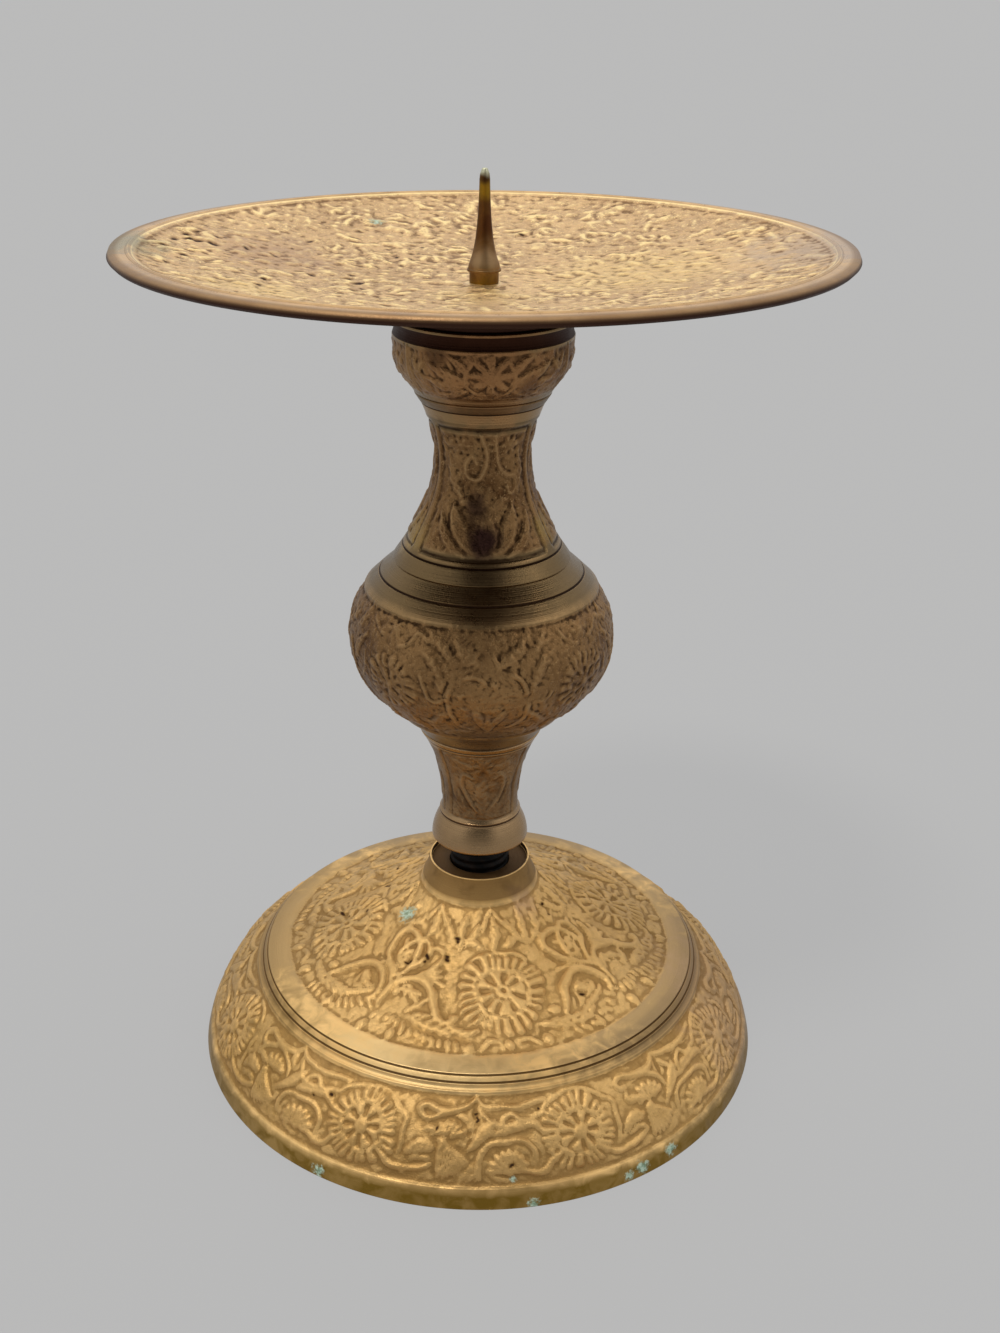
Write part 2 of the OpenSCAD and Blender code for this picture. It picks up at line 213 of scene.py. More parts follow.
def ring_lines(parts, closed, zones, seams):
    """Rings of the outline as rows (radius, height, run, stretch, step, bend), with softened corners.
    bend is 1 on a convex corner, -1 in a concave one and 0 elsewhere. Corners at a seam stay sharp."""
    rows = []
    count = len(parts)
    soft = {}
    for k, points in enumerate(parts):
        m = (k + 1) % count
        joined = closed or k < count - 1
        size = min(EDGE_SOFT, SOFT_SHARE * lengths(points)[-1], SOFT_SHARE * lengths(parts[m])[-1])
        soft[k] = size if joined and k not in seams and m not in seams else 0.0
    for k, points in enumerate(parts):
        total = lengths(points)[-1]
        low = soft[(k - 1) % count] if closed or k > 0 else 0.0
        high = soft[k]
        runs, steps = stretch_runs(low, total - high, [z for z in zones if z.part == k]).T
        if total > LONG_STRETCH:
            extra = np.array([low + EDGE_SOFT, total - high - EDGE_SOFT])
            runs, steps = np.r_[runs, extra], np.r_[steps, np.interp(extra, runs, steps)]
            runs, order = np.unique(runs, return_index=True)
            steps = steps[order]
        if rows and not soft[(k - 1) % count]:
            runs, steps = runs[1:], steps[1:]
        for run, step, place in zip(runs, steps, smooth_line(points, runs)):
            rows.append((*place, run, k, step, 0))
        if high:
            after = parts[(k + 1) % count]
            near = smooth_line(points, np.array([total - high]))[0]
            far = smooth_line(after, np.array([high]))[0]
            middle = 0.25 * near + 0.5 * points[-1] + 0.25 * far
            a, b = points[-1] - near, far - points[-1]
            rows.append((*middle, total, k, steps[-1], np.sign(a[0] * b[1] - a[1] * b[0])))
    if closed and not soft[count - 1]:
        rows.pop()
    return np.array(rows)


def ring_counts(rows):
    """How many vertices each ring has."""
    counts = np.ceil(2 * math.pi * rows[:, 0] / rows[:, 4]).astype(int)
    counts = np.maximum(counts, FEWEST_ROUND)
    return np.where(rows[:, 0] < POLE, 1, counts)


def lace(counts, closed):
    """Triangles between each ring and the next, whatever their counts."""
    starts = np.r_[0, np.cumsum(counts)[:-1]]
    found = []
    for k in range(len(counts) if closed else len(counts) - 1):
        m = (k + 1) % len(counts)
        a, b = counts[k], counts[m]
        if a == 1 and b == 1:
            continue
        steps = np.r_[(np.arange(a if a > 1 else 0) + 0.5) / a, (np.arange(b if b > 1 else 0) + 0.5) / b]
        lower = np.r_[np.ones(a if a > 1 else 0, bool), np.zeros(b if b > 1 else 0, bool)]
        order = np.argsort(steps, kind="stable")
        lower = lower[order]
        i = np.cumsum(lower) - lower
        j = np.cumsum(~lower) - ~lower
        low, low_next = starts[k] + i % a, starts[k] + (i + 1) % a
        high, high_next = starts[m] + j % b, starts[m] + (j + 1) % b
        found.append(np.where(lower[:, None], np.c_[low, low_next, high], np.c_[low, high_next, high]))
    return np.concatenate(found)


def blurred(values, triangles, times):
    """Values at the vertices, evened out over their neighbours."""
    a, b = triangles.ravel(), np.roll(triangles, -1, 1).ravel()
    size = len(values)
    count = np.bincount(a, minlength=size) + np.bincount(b, minlength=size)
    for _ in range(times):
        total = np.bincount(a, values[b], size) + np.bincount(b, values[a], size)
        values = total / np.maximum(count, 1)
    return values


def murmur(places, size, seed):
    """Smooth uneven values round 0, mostly from -1 to 1, that change over about size mm."""
    rng = np.random.default_rng(seed)
    total = np.zeros(len(places))
    for _ in range(WAVES):
        direction = unit(rng.normal(size=3))
        wave = size * rng.uniform(*WAVE_SIZES)
        total += np.sin(places @ direction * (2 * math.pi / wave) + rng.uniform(0, 2 * math.pi))
    return total / math.sqrt(WAVES)


# Murmur: the number of its waves, and their sizes as shares of the size asked for
WAVES, WAVE_SIZES = 9, (0.7, 1.6)
# Relief: the share kept of what rises over the outline, and how often its heights are evened out
PROUD_SHARE, SOFTEN = 0.3, 1
# Wear, which also places painted highlights on the ridges: heights over near and far surroundings, evened
# out so often, and the height in mm that counts as 1
NEAR_BLUR, NEAR_SCALE = 5, 0.12
FAR_BLUR, FAR_SCALE = 20, 0.8
CORNER_WEAR = 0.7
# Dirt and painted shade: the longest wall in mm of a narrow groove and the dirt in it, between which slopes
# of the normal the painted shade under a piece fades in, and the least soot that counts
GROOVE_WALL, GROOVE_SOIL = 0.5, 0.78
UNDER_FADE, LEAST_SOOT = (0.92, 0.3), 0.05


def groove_walls(parts):
    """Stretches that form the narrow grooves turned in a piece."""
    found = set()
    for k in range(len(parts) - 1):
        a, b = parts[k], parts[k + 1]
        back, ahead = a[-1] - a[0], b[-1] - b[0]
        inward = back[0] * ahead[1] - back[1] * ahead[0] < 0
        if inward and max(lengths(a)[-1], lengths(b)[-1]) < GROOVE_WALL:
            found |= {k, k + 1}
    return found


def spun(name, parts, closed, zones, body, material, stands_for, dirt_and_shade_bands=(), under=0.0, seams=()):
    """A turned piece spun from its outline, with its zones' ornament.
    Each soil band is (least radius, greatest radius, least height, greatest height, amount), with amount
    from -1,
    polished, to 1, black: the bands hold dirt and polish, and painted shade in recesses and under rims.
    under is the painted shade on all faces but those that look up."""
    rows = ring_lines(parts, closed, zones, seams)
    counts = ring_counts(rows)
    triangles = lace(counts, closed)
    ring = np.repeat(np.arange(len(rows)), counts)
    starts = np.r_[0, np.cumsum(counts)[:-1]]
    angle = (np.arange(len(ring)) - starts[ring]) / counts[ring] * 2 * math.pi
    radius, height, run, part = rows[ring, 0], rows[ring, 1], rows[ring, 2], rows[ring, 3]
    place = np.c_[radius * np.sin(angle), -radius * np.cos(angle), height]
    ahead, back = np.roll(rows[:, :2], -1, 0), np.roll(rows[:, :2], 1, 0)
    if not closed:
        ahead[-1], back[0] = rows[-1, :2], rows[0, :2]
    along = unit_rows(ahead - back)
    out = np.c_[along[:, 1], -along[:, 0]][ring]
    normal = np.c_[out[:, 0] * np.sin(angle), -out[:, 0] * np.cos(angle), out[:, 1]]
    high, chased, soot = np.zeros(len(ring)), np.zeros(len(ring)), np.zeros(len(ring))
    for z in zones:
        here = np.flatnonzero((part == z.part) & (run >= z.low - NO_LENGTH) & (run <= z.high + NO_LENGTH))
        chart = new_chart(parts[z.part], z, angle[here], run[here], place[here])
        z.draw(chart)
        level = chart.high - chart.ground
        high[here] = np.minimum(level, 0) + PROUD_SHARE * np.maximum(level, 0)
        chased[here] = chart.chased
        soot[here] = chart.soot
    high = blurred(high, triangles, SOFTEN)
    near_level = blurred(high, triangles, NEAR_BLUR)
    worn = (high - near_level) / NEAR_SCALE + (high - blurred(near_level, triangles, FAR_BLUR)) / FAR_SCALE
    worn = worn + CORNER_WEAR * rows[ring, 5]
    soil = GROOVE_SOIL * np.isin(part, list(groove_walls(parts))).astype(float)
    # Bands of dirt and polish, and of painted shade in recesses and under rims
    for inner, outer, low, top, amount in dirt_and_shade_bands:
        here = (radius >= inner) & (radius <= outer) & (height >= low) & (height <= top)
        soil[here] = np.maximum(soil[here], amount) if amount > 0 else amount
    # Painted shade, darker on the faces that look further down
    soil = np.maximum(soil, under * smooth_step(*UNDER_FADE, out[:, 1])) if under else soil
    soil = np.where(soot > LEAST_SOOT, np.maximum(soil, soot), soil)
    place = (place + normal * high[:, None]) * MM
    marks = {"worn": np.clip(worn, -1, 1), "chased": chased, "soil": soil}
    piece = mesh_piece(name, place, triangles, marks, material)
    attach(piece, body)
    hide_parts(stands_for)
    return piece


def mesh_piece(name, places, triangles, values, material):
    """A smooth-shaded mesh object with values at its vertices."""
    mesh = bpy.data.meshes.new(name)
    mesh.from_pydata(places, [], triangles)
    mesh.polygons.foreach_set("use_smooth", np.ones(len(triangles), bool))
    for label, numbers in values.items():
        layer = mesh.attributes.new(label, "FLOAT", "POINT")
        layer.data.foreach_set("value", numbers.astype(np.float32))
    mesh.materials.append(material)
    mesh.update()
    piece = bpy.data.objects.new(name, mesh)
    bpy.context.scene.collection.objects.link(piece)
    return piece


def new_chart(points, zone, angle, run, place):
    """Where a zone's ornament is drawn: high is its height over the ground, which lies under the outline."""
    high, ground, chased, soot = np.zeros((4, len(angle)))
    return SimpleNamespace(line=points, low=zone.low, length=zone.high - zone.low, angle=angle,
                           run=run - zone.low, place=place, high=high, ground=ground, chased=chased,
                           soot=soot, repeats=1, first=0.0)


def on_chart(chart, degrees, runs):
    """Places in mm of points given by angle and run."""
    degrees, runs = np.atleast_1d(degrees).astype(float), np.atleast_1d(runs).astype(float)
    line = smooth_line(chart.line, np.clip(runs, 0, chart.length) + chart.low)
    a = np.radians(degrees)
    return np.c_[line[:, 0] * np.sin(a), -line[:, 0] * np.cos(a), line[:, 1]]


def copies(chart):
    """The angle that each copy of a repeated motif is turned by."""
    return [chart.first + 360 * k / chart.repeats for k in range(chart.repeats)]


def raised(chart, ids, height):
    """Raises the surface to a height over the ground, where it is lower."""
    chart.high[ids] = np.maximum(chart.high[ids], height)


def near(chart, centre, reach):
    """Indices of the chart's points within reach of a place."""
    return np.flatnonzero(((chart.place - centre) ** 2).sum(1) < reach * reach)


def way_on(chart, way, turned):
    """A smooth line of places through given points (degrees, run), about WAY_STEP apart."""
    way = np.array(way, float)
    at = lengths(on_chart(chart, way[:, 0] + turned, way[:, 1]))
    runs = np.linspace(0, at[-1], max(FEWEST_ON_WAY, math.ceil(at[-1] / WAY_STEP)))
    if len(way) == 2:
        line = way[0] + (way[1] - way[0]) * (runs / at[-1])[:, None]
    else:
        line = on_curve(way, at, np.gradient(way, at, axis=0), runs)
    return on_chart(chart, line[:, 0] + turned, line[:, 1])


# Ways: their step in mm, their fewest points, and the share of one over which it thins to an end
WAY_STEP, FEWEST_ON_WAY, TAPER_SHARE = 0.25, 6, 0.3
# Leaves: how far they reach as a share of their width, where they end, and half the width of the tip in mm.
# Depths are shares of the leaf's height, and slants are of the lobes and the ribs towards the tip
LEAF_REACH, LEAF_ENDS, LEAF_TIP = 0.62, (0.015, 0.985), 0.05
LOBE_DEPTH, LOBE_SLANT = 0.3, 0.5
MIDRIB_DEPTH, MIDRIB_WIDTH, MIDRIB_END = 0.3, 0.16, 0.9
RIB_DEPTH, RIB_SLANT = 0.5, 1.1


def along_way(chart, way, reach):
    """Points near each copy of a way: their indices, distance from it, signed side and share of the way."""
    for turned in copies(chart):
        line = way_on(chart, way, turned)
        middle = (line.min(0) + line.max(0)) / 2
        ids = near(chart, middle, np.linalg.norm(line - middle, axis=1).max() + reach)
        if not len(ids):
            continue
        gaps = ((chart.place[ids][:, None] - line[None]) ** 2).sum(2)
        at = gaps.argmin(1)
        gap = np.sqrt(gaps[np.arange(len(ids)), at])
        close = gap < reach
        ids, at, gap = ids[close], at[close], gap[close]
        if len(ids):
            tangent = unit_rows(np.gradient(line, axis=0))
            aside = np.cross(tangent[at], unit_rows(chart.place[ids] * (1, 1, 0)))
            side = ((chart.place[ids] - line[at]) * unit_rows(aside)).sum(1)
            yield ids, gap, side, at / (len(line) - 1)


def vine(chart, way, width, height, ends=(0.6, 0.6)):
    """A half-round ridge along a way, width mm wide, that thins towards its ends."""
    for ids, gap, _, share in along_way(chart, way, width):
        half = width / 2 * taper(share, ends)
        raised(chart, ids, height * taper(share, ends) ** 0.5 * np.clip(1 - (gap / half) ** 3, 0, 1) ** 0.6)


def taper(share, ends):
    """1 along the middle of a way, falling to the two end shares."""
    low = ends[0] + (1 - ends[0]) * np.clip(share / TAPER_SHARE, 0, 1)
    high = ends[1] + (1 - ends[1]) * np.clip((1 - share) / TAPER_SHARE, 0, 1)
    return np.minimum(low, high)


def bell(value, width, power=2):
    """1 at 0, falling to both sides within about the width."""
    return np.exp(-((value / width) ** power))


def cap(q, power=2):
    """Height of a cap at the share q of its radius: 1 in the middle and 0 from the edge on."""
    return np.sqrt(np.clip(1 - q**power, 0, 1))


def leaf(chart, way, width, height, ribs=6, lobes=0, hollow=0.0, fullest=0.4):
    """A leaf along a way from stalk to tip, with a midrib groove, slanting ribs and a lobed edge."""
    power = math.log(0.5) / math.log(fullest)
    for ids, gap, side, share in along_way(chart, way, width * LEAF_REACH):
        half = width / 2 * np.sin(math.pi * np.clip(share, *LEAF_ENDS) ** power) ** 0.75 + LEAF_TIP
        if lobes:
            half *= 1 - LOBE_DEPTH * np.abs(np.cos(math.pi * (lobes * share - LOBE_SLANT * gap / half)))
        q = gap / half
        shape = height * cap(q, 4) * (1 - hollow * np.clip(1 - q * q, 0, 1))
        shape -= MIDRIB_DEPTH * height * bell(side, MIDRIB_WIDTH) * (share < MIDRIB_END)
        if ribs:
            stripe = 0.5 + 0.5 * np.cos(2 * math.pi * (ribs * share - RIB_SLANT * q))
            shape -= RIB_DEPTH * height * stripe**2 * (q < 1)
        raised(chart, ids, np.where(q < 1, shape, 0))


def spots(chart, degrees, run, reach):
    """Points near each copy of a spot: their indices and their place in its tangent plane, in mm."""
    for turned in copies(chart):
        at = degrees + turned
        centre = on_chart(chart, at, run)[0]
        low, high = on_chart(chart, [at] * 2, [run - TANGENT_REACH, run + TANGENT_REACH])
        across = np.array([math.cos(math.radians(at)), math.sin(math.radians(at)), 0])
        ids = near(chart, centre, reach)
        if len(ids):
            offset = chart.place[ids] - centre
            yield ids, offset @ across, offset @ unit(high - low)


# A spot's plane touches the surface so far to each side in mm. A dimple's width is a share of its boss, and
# a cut's ends are shares of its width
TANGENT_REACH, DIMPLE, CUT_ENDS = 0.3, 0.35, (0.4, 0.4)


def boss(chart, degrees, run, radius, height, dimple=0.0):
    """A round knob, dimpled if asked."""
    for ids, x, y in spots(chart, degrees, run, radius):
        q = np.hypot(x, y) / radius
        raised(chart, ids, height * (cap(q) - dimple * bell(q, DIMPLE)))


def cut(chart, way, width, depth):
    """A dark slit along a way."""
    for ids, gap, _, share in along_way(chart, way, width):
        chart.high[ids] -= depth * bell(gap, width / 2 * taper(share, CUT_ENDS), 3)


def pits(chart, places, size, depth, seed):
    """Small black pits at places (degrees, run), each longer to one side."""
    rng = np.random.default_rng(seed)
    for degrees, run in places:
        offset = chart.true_place - on_chart(chart, degrees, run)[0]
        lean = unit(rng.normal(size=3))
        along = offset @ lean
        away = np.sqrt(np.maximum((offset**2).sum(1) - 0.8 * along**2, 0))
        hole = bell(away, size * rng.uniform(0.7, 1.2), 4)
        chart.high -= depth * hole
        chart.soot = np.maximum(chart.soot, hole)


def crumbs(chart, size, height, seed):
    """Irregular lumps of the cast ground between the motifs."""
    broad = smooth_step(-0.9, 0.4, murmur(chart.place, size * 2, seed + 1))
    lumps = smooth_step(-0.1, 0.8, murmur(chart.place, size, seed)) * broad
    chart.high = np.maximum(chart.high, height * lumps)


def scribbles(chart, size, height, seed):
    """Short crossing ridges of worn foliage."""
    ridge = np.clip(1 - np.abs(murmur(chart.place, size, seed)) / 0.28, 0, 1)
    broken = smooth_step(-0.2, 0.5, murmur(chart.place, 0.8 * size, seed + 1))
    chart.high = np.maximum(chart.high, height * ridge**0.7 * broken)


def wobbly(value, phi, rng, *waves):
    """A value with waves (size, number round the circle) added to it, each turned at random."""
    for size, count in waves:
        value = value + size * np.sin(count * phi + rng.uniform(0, 6))
    return value


def rosette(chart, degrees, run, radius, height, fringe=24, cells=8, heart=0.15, pit=0.0, seed=0):
    """An open flower: a domed heart, hollowed by pit, broad inner petals with dark cells between their tips,
    and a fringe of narrow petals."""
    rng = np.random.default_rng(seed)
    for ids, x, y in spots(chart, degrees, run, radius * 1.1):
        rho, phi = np.hypot(x, y) / radius, np.arctan2(y, x)
        rho = rho * wobbly(1, phi, rng, (0.03, 3), (0.02, 5))
        swung = wobbly(phi, phi, rng, (0.08, 2), (0.04, 7))
        petal = np.abs(np.cos(fringe / 2 * swung + rng.uniform(0, 3)))
        slot = np.abs(np.sin(cells / 2 * swung + rng.uniform(0, 3)))
        edge = wobbly(0.92 + 0.08 * petal, phi, rng, (0.04, 4))
        lobe = 0.5 + 0.08 * np.sqrt(1 - slot**2)
        slit = (1 - smooth_step(0.3, 0.85, petal)) * smooth_step(0.56, 0.7, rho)
        level = smooth_step(lobe, lobe + 0.04, rho) * (1 - smooth_step(edge - 0.08, edge, rho))
        level = level * (1 - 0.95 * slit)
        inner = (1 - smooth_step(lobe - 0.03, lobe + 0.02, rho)) * (0.75 + 0.25 * np.cos(3 * rho))
        seam = smooth_step(0.86, 0.97, slot) * smooth_step(heart, heart + 0.06, rho)
        hole = bell(rho - 0.38, 0.1) * smooth_step(0.7, 0.93, slot)
        inner = inner * (1 - 0.6 * seam) - 1.1 * hole
        shape = np.maximum(level, inner) + 0.3 * cap(rho / heart)
        shape = shape - 0.5 * bell(rho - heart * 1.15, 0.035) - bell(rho, 0.07) * pit
        raised(chart, ids, height * np.clip(shape, -0.2, 1.3))


def flower(chart, degrees, run, radius, height, petals=8, pointed=1.6, heart=0.2, spin=0.0):
    """A simple flower with separate pointed or round petals."""
    for ids, x, y in spots(chart, degrees, run, radius * 1.05):
        rho, phi = np.hypot(x, y) / radius, np.arctan2(y, x) + math.radians(spin)
        wave = np.abs(np.cos(petals / 2 * phi))
        edge = 0.35 + 0.65 * wave**pointed
        vein = bell(1 - wave, 0.02) * (rho > heart)
        shape = cap(rho / edge, 3) * (0.85 - 0.3 * vein) + 0.4 * cap(rho / heart)
        raised(chart, ids, height * np.clip(shape, 0, 1.3))


def fan(chart, degrees, run, radius, height, start, stop, ribs, root=0.12):
    """A shell of ribs that spread from a spot between two angles, measured in its plane."""
    for ids, x, y in spots(chart, degrees, run, radius * 1.02):
        rho = np.hypot(x, y) / radius
        swing = (np.degrees(np.arctan2(y, x)) - start) % 360 / ((stop - start) % 360)
        rib = np.abs(np.sin(math.pi * ribs * swing))
        edge = 0.86 + 0.14 * rib
        body = (0.15 + 0.85 * rib**0.8) * smooth_step(root * 0.4, root, rho)
        body = body * (1 - smooth_step(edge - 0.08, edge, rho))
        raised(chart, ids, np.where(swing < 1, height * body, 0))


def feathers(chart, way, count, length, lean, width, height):
    """Small leaves along a way, that lean from it by lean degrees in the plane of angle and run."""
    way = np.array(way, float)
    share = np.linspace(0, 1, count)
    at = np.linspace(0, 1, len(way))
    degrees, runs = np.interp(share, at, way[:, 0]), np.interp(share, at, way[:, 1])
    for k in range(count):
        radius = smooth_line(chart.line, np.array([np.clip(runs[k], 0, chart.length) + chart.low]))[0, 0]
        a = math.radians(lean[0] + (lean[1] - lean[0]) * share[k])
        tip = (degrees[k] + math.degrees(length * math.cos(a) / radius), runs[k] + length * math.sin(a))
        leaf(chart, [(degrees[k], runs[k]), tip], width, height, ribs=0)


def smooth_step(low, high, value):
    """0 under low, 1 over high, and smooth between."""
    t = np.clip((value - low) / (high - low), 0, 1)
    return t * t * (3 - 2 * t)


def sink_ground(chart, depth, low, high, edge=0.5):
    """Sets the ground of the ornament depth mm deep between two runs."""
    inside = smooth_step(low, low + edge, chart.run) * (1 - smooth_step(high - edge, high, chart.run))
    chart.ground += depth * inside
    chart.chased = np.maximum(chart.chased, inside)


def uneven(chart, seed, coarse, fine, grain):
    """Hand work and casting make the ornament slightly uneven."""
    rough = coarse * murmur(chart.place, 6, seed) + fine * murmur(chart.place, 1.7, seed + 1)
    creases = np.abs(murmur(chart.place, 2.6, seed + 2))
    grains = grain * murmur(chart.place, 0.8, seed + 3)
    chart.high += (rough + grains - fine * np.exp(-creases / 0.12)) * chart.chased


def warp(chart, seed, amount, size):
    """Bends the drawing plane slightly, so that no two copies of a motif are alike."""
    chart.true_place = chart.place
    shift = np.c_[tuple(murmur(chart.place, size, seed + k) for k in range(3))]
    chart.place = chart.place + amount * shift


def strokes(chart, rows):
    """Draws rows of a drawing function and its arguments, in turn."""
    for draw, *rest in rows:
        draw(chart, *rest)


def mirrored(rows):
    """Rows that follow ways, drawn to the left and to the right of angle 0."""
    return [(draw, [(side * a, run) for a, run in way], *rest)
            for side in (-1, 1) for draw, way, *rest in rows]


def prepare(chart, seed, repeats, first, ground, lumps, bend=(0.22, 7)):
    """Bends a zone's drawing plane, sinks its ground and puts lumps on it. first is one copy's angle."""
    warp(chart, seed, *bend)
    chart.repeats, chart.first = repeats, first
    sink_ground(chart, *ground)
    crumbs(chart, *lumps, seed + 1)


def settle(chart, seed, rough, gain, ground_gain=None):
    """Makes a drawn zone uneven, and its relief and ground deeper."""
    uneven(chart, seed, *rough)
    chart.high *= gain
    chart.ground *= ground_gain or gain


# Rows of strokes: the drawing function, then its arguments in order. Ways are (degrees, run)
BAND_STROKES = [
    # A rosette under a thin arch
    (rosette, 0, 8.8, 7.2, 0.6, 27, 8, 0.2, 0.0, 3),
    (vine, [(-8.3, 12.4), (-5, 15.2), (0, 16.6), (4.6, 15.8), (7.4, 13.6)], 0.6, 0.45),
    # The shell, the cap and the leaves right of it
    (vine, [(3.2, 6.8), (5, 4.8), (6.6, 3.5), (10, 3.1), (13.6, 3.7), (15.2, 4.6)], 1.1, 0.6),
    (vine, [(6.4, 13.6), (8.4, 12.6), (8.8, 9.4), (8.3, 5.4)], 0.6, 0.5),
    (vine, [(12.4, 11.2), (13.8, 13.1), (17, 14.0), (20.5, 13.7), (22.7, 12.1), (23.2, 9.8)], 0.7, 0.55),
    (fan, 18.3, 9.5, 3.5, 0.55, 15, 165, 6),
    (fan, 16.4, 9.3, 7.1, 0.6, 266, 326, 7),
    (leaf, [(15.4, 7.5), (12.6, 7.8), (9.6, 6.2)], 2.7, 0.55, 5),
    (leaf, [(16.2, 9.6), (14.4, 11.0), (12.4, 10.6)], 1.5, 0.5, 2),
    (leaf, [(10.2, 5.0), (13.4, 5.6), (15.6, 5.0)], 1.1, 0.45, 3),
    (boss, 17.0, 8.7, 0.9, 0.6),
    # The ribbon over the leaves, with the dark slit under its knot
    (vine, [(13.6, 13.3), (11.9, 13.4), (11.3, 14.6), (12.4, 15.5), (16, 14.8), (20, 14.8), (22.4, 15.5),
        (23.9, 16.8)], 1.2, 0.6),
    (vine, [(23.9, 16.8), (25.6, 15.6), (29, 15.2), (34, 15.3), (39, 15.9)], 1.0, 0.55),
    (vine, [(24.9, 14.6), (26.4, 13.0), (28.4, 11.8), (29.8, 13.2), (31.4, 13.8), (33, 12.7), (35, 12.7),
        (38, 13.2)], 0.8, 0.55),
    (vine, [(27, 14.4), (31, 14.6), (37, 14.5)], 0.4, 0.4),
    (leaf, [(20.4, 6.2), (23.4, 8.9), (27.8, 12.8)], 2.3, 0.6, 0, 0, 0.0, 0.72),
    (cut, [(24.0, 15.6), (23.7, 13.0)], 0.8, 0.45),
    (cut, [(31.0, 13.4), (31.1, 12.5)], 0.6, 0.35),
    (cut, [(22.6, 11.2), (22.4, 9.8)], 0.5, 0.35),
    # The daisy under its arch, and the stems that lead to the next rosette
    (vine, [(24.3, 2.4), (24.4, 6.4), (25.4, 8.3), (29.5, 8.9), (33.8, 8.6), (35.2, 7.4), (35.3, 4.6)], 0.9,
        0.6),
    (leaf, [(26.4, 9.9), (31, 11.3), (35.6, 11.5), (38, 9.8)], 2.1, 0.45, 0),
    (fan, 30.2, 3.6, 3.9, 0.55, 350, 190, 9),
    (boss, 30.2, 3.9, 1.0, 0.6, 0.5),
    (leaf, [(26, 3.6), (28, 2.2), (31.5, 1.8)], 1.1, 0.4, 3),
    (vine, [(32.6, 4.1), (34.2, 3.4), (37, 3.1), (38.7, 4.4), (39.4, 6.2)], 1.0, 0.6),
    (cut, [(33.4, 6.6), (34.2, 5.0)], 0.7, 0.3),
]


def band_relief(chart):
    """Rosettes and leaf scrolls round the skirt of the foot, eight times."""
    prepare(chart, 11, 8, -24, (0.5, 0.5, chart.length - 0.3), (3.6, 0.1))
    strokes(chart, BAND_STROKES)
    settle(chart, 21, (0.07, 0.035, 0.025), 1.2)
    pits(chart, BAND_PITS, 0.4, 0.3, 23)


BAND_PITS = [(-0.3, 14.1), (-0.1, 13.4), (0.1, 12.8), (13.3, 14.3), (6.6, 4.7), (-8.3, 11.1), (-33, 12),
             (-37, 10.4)]


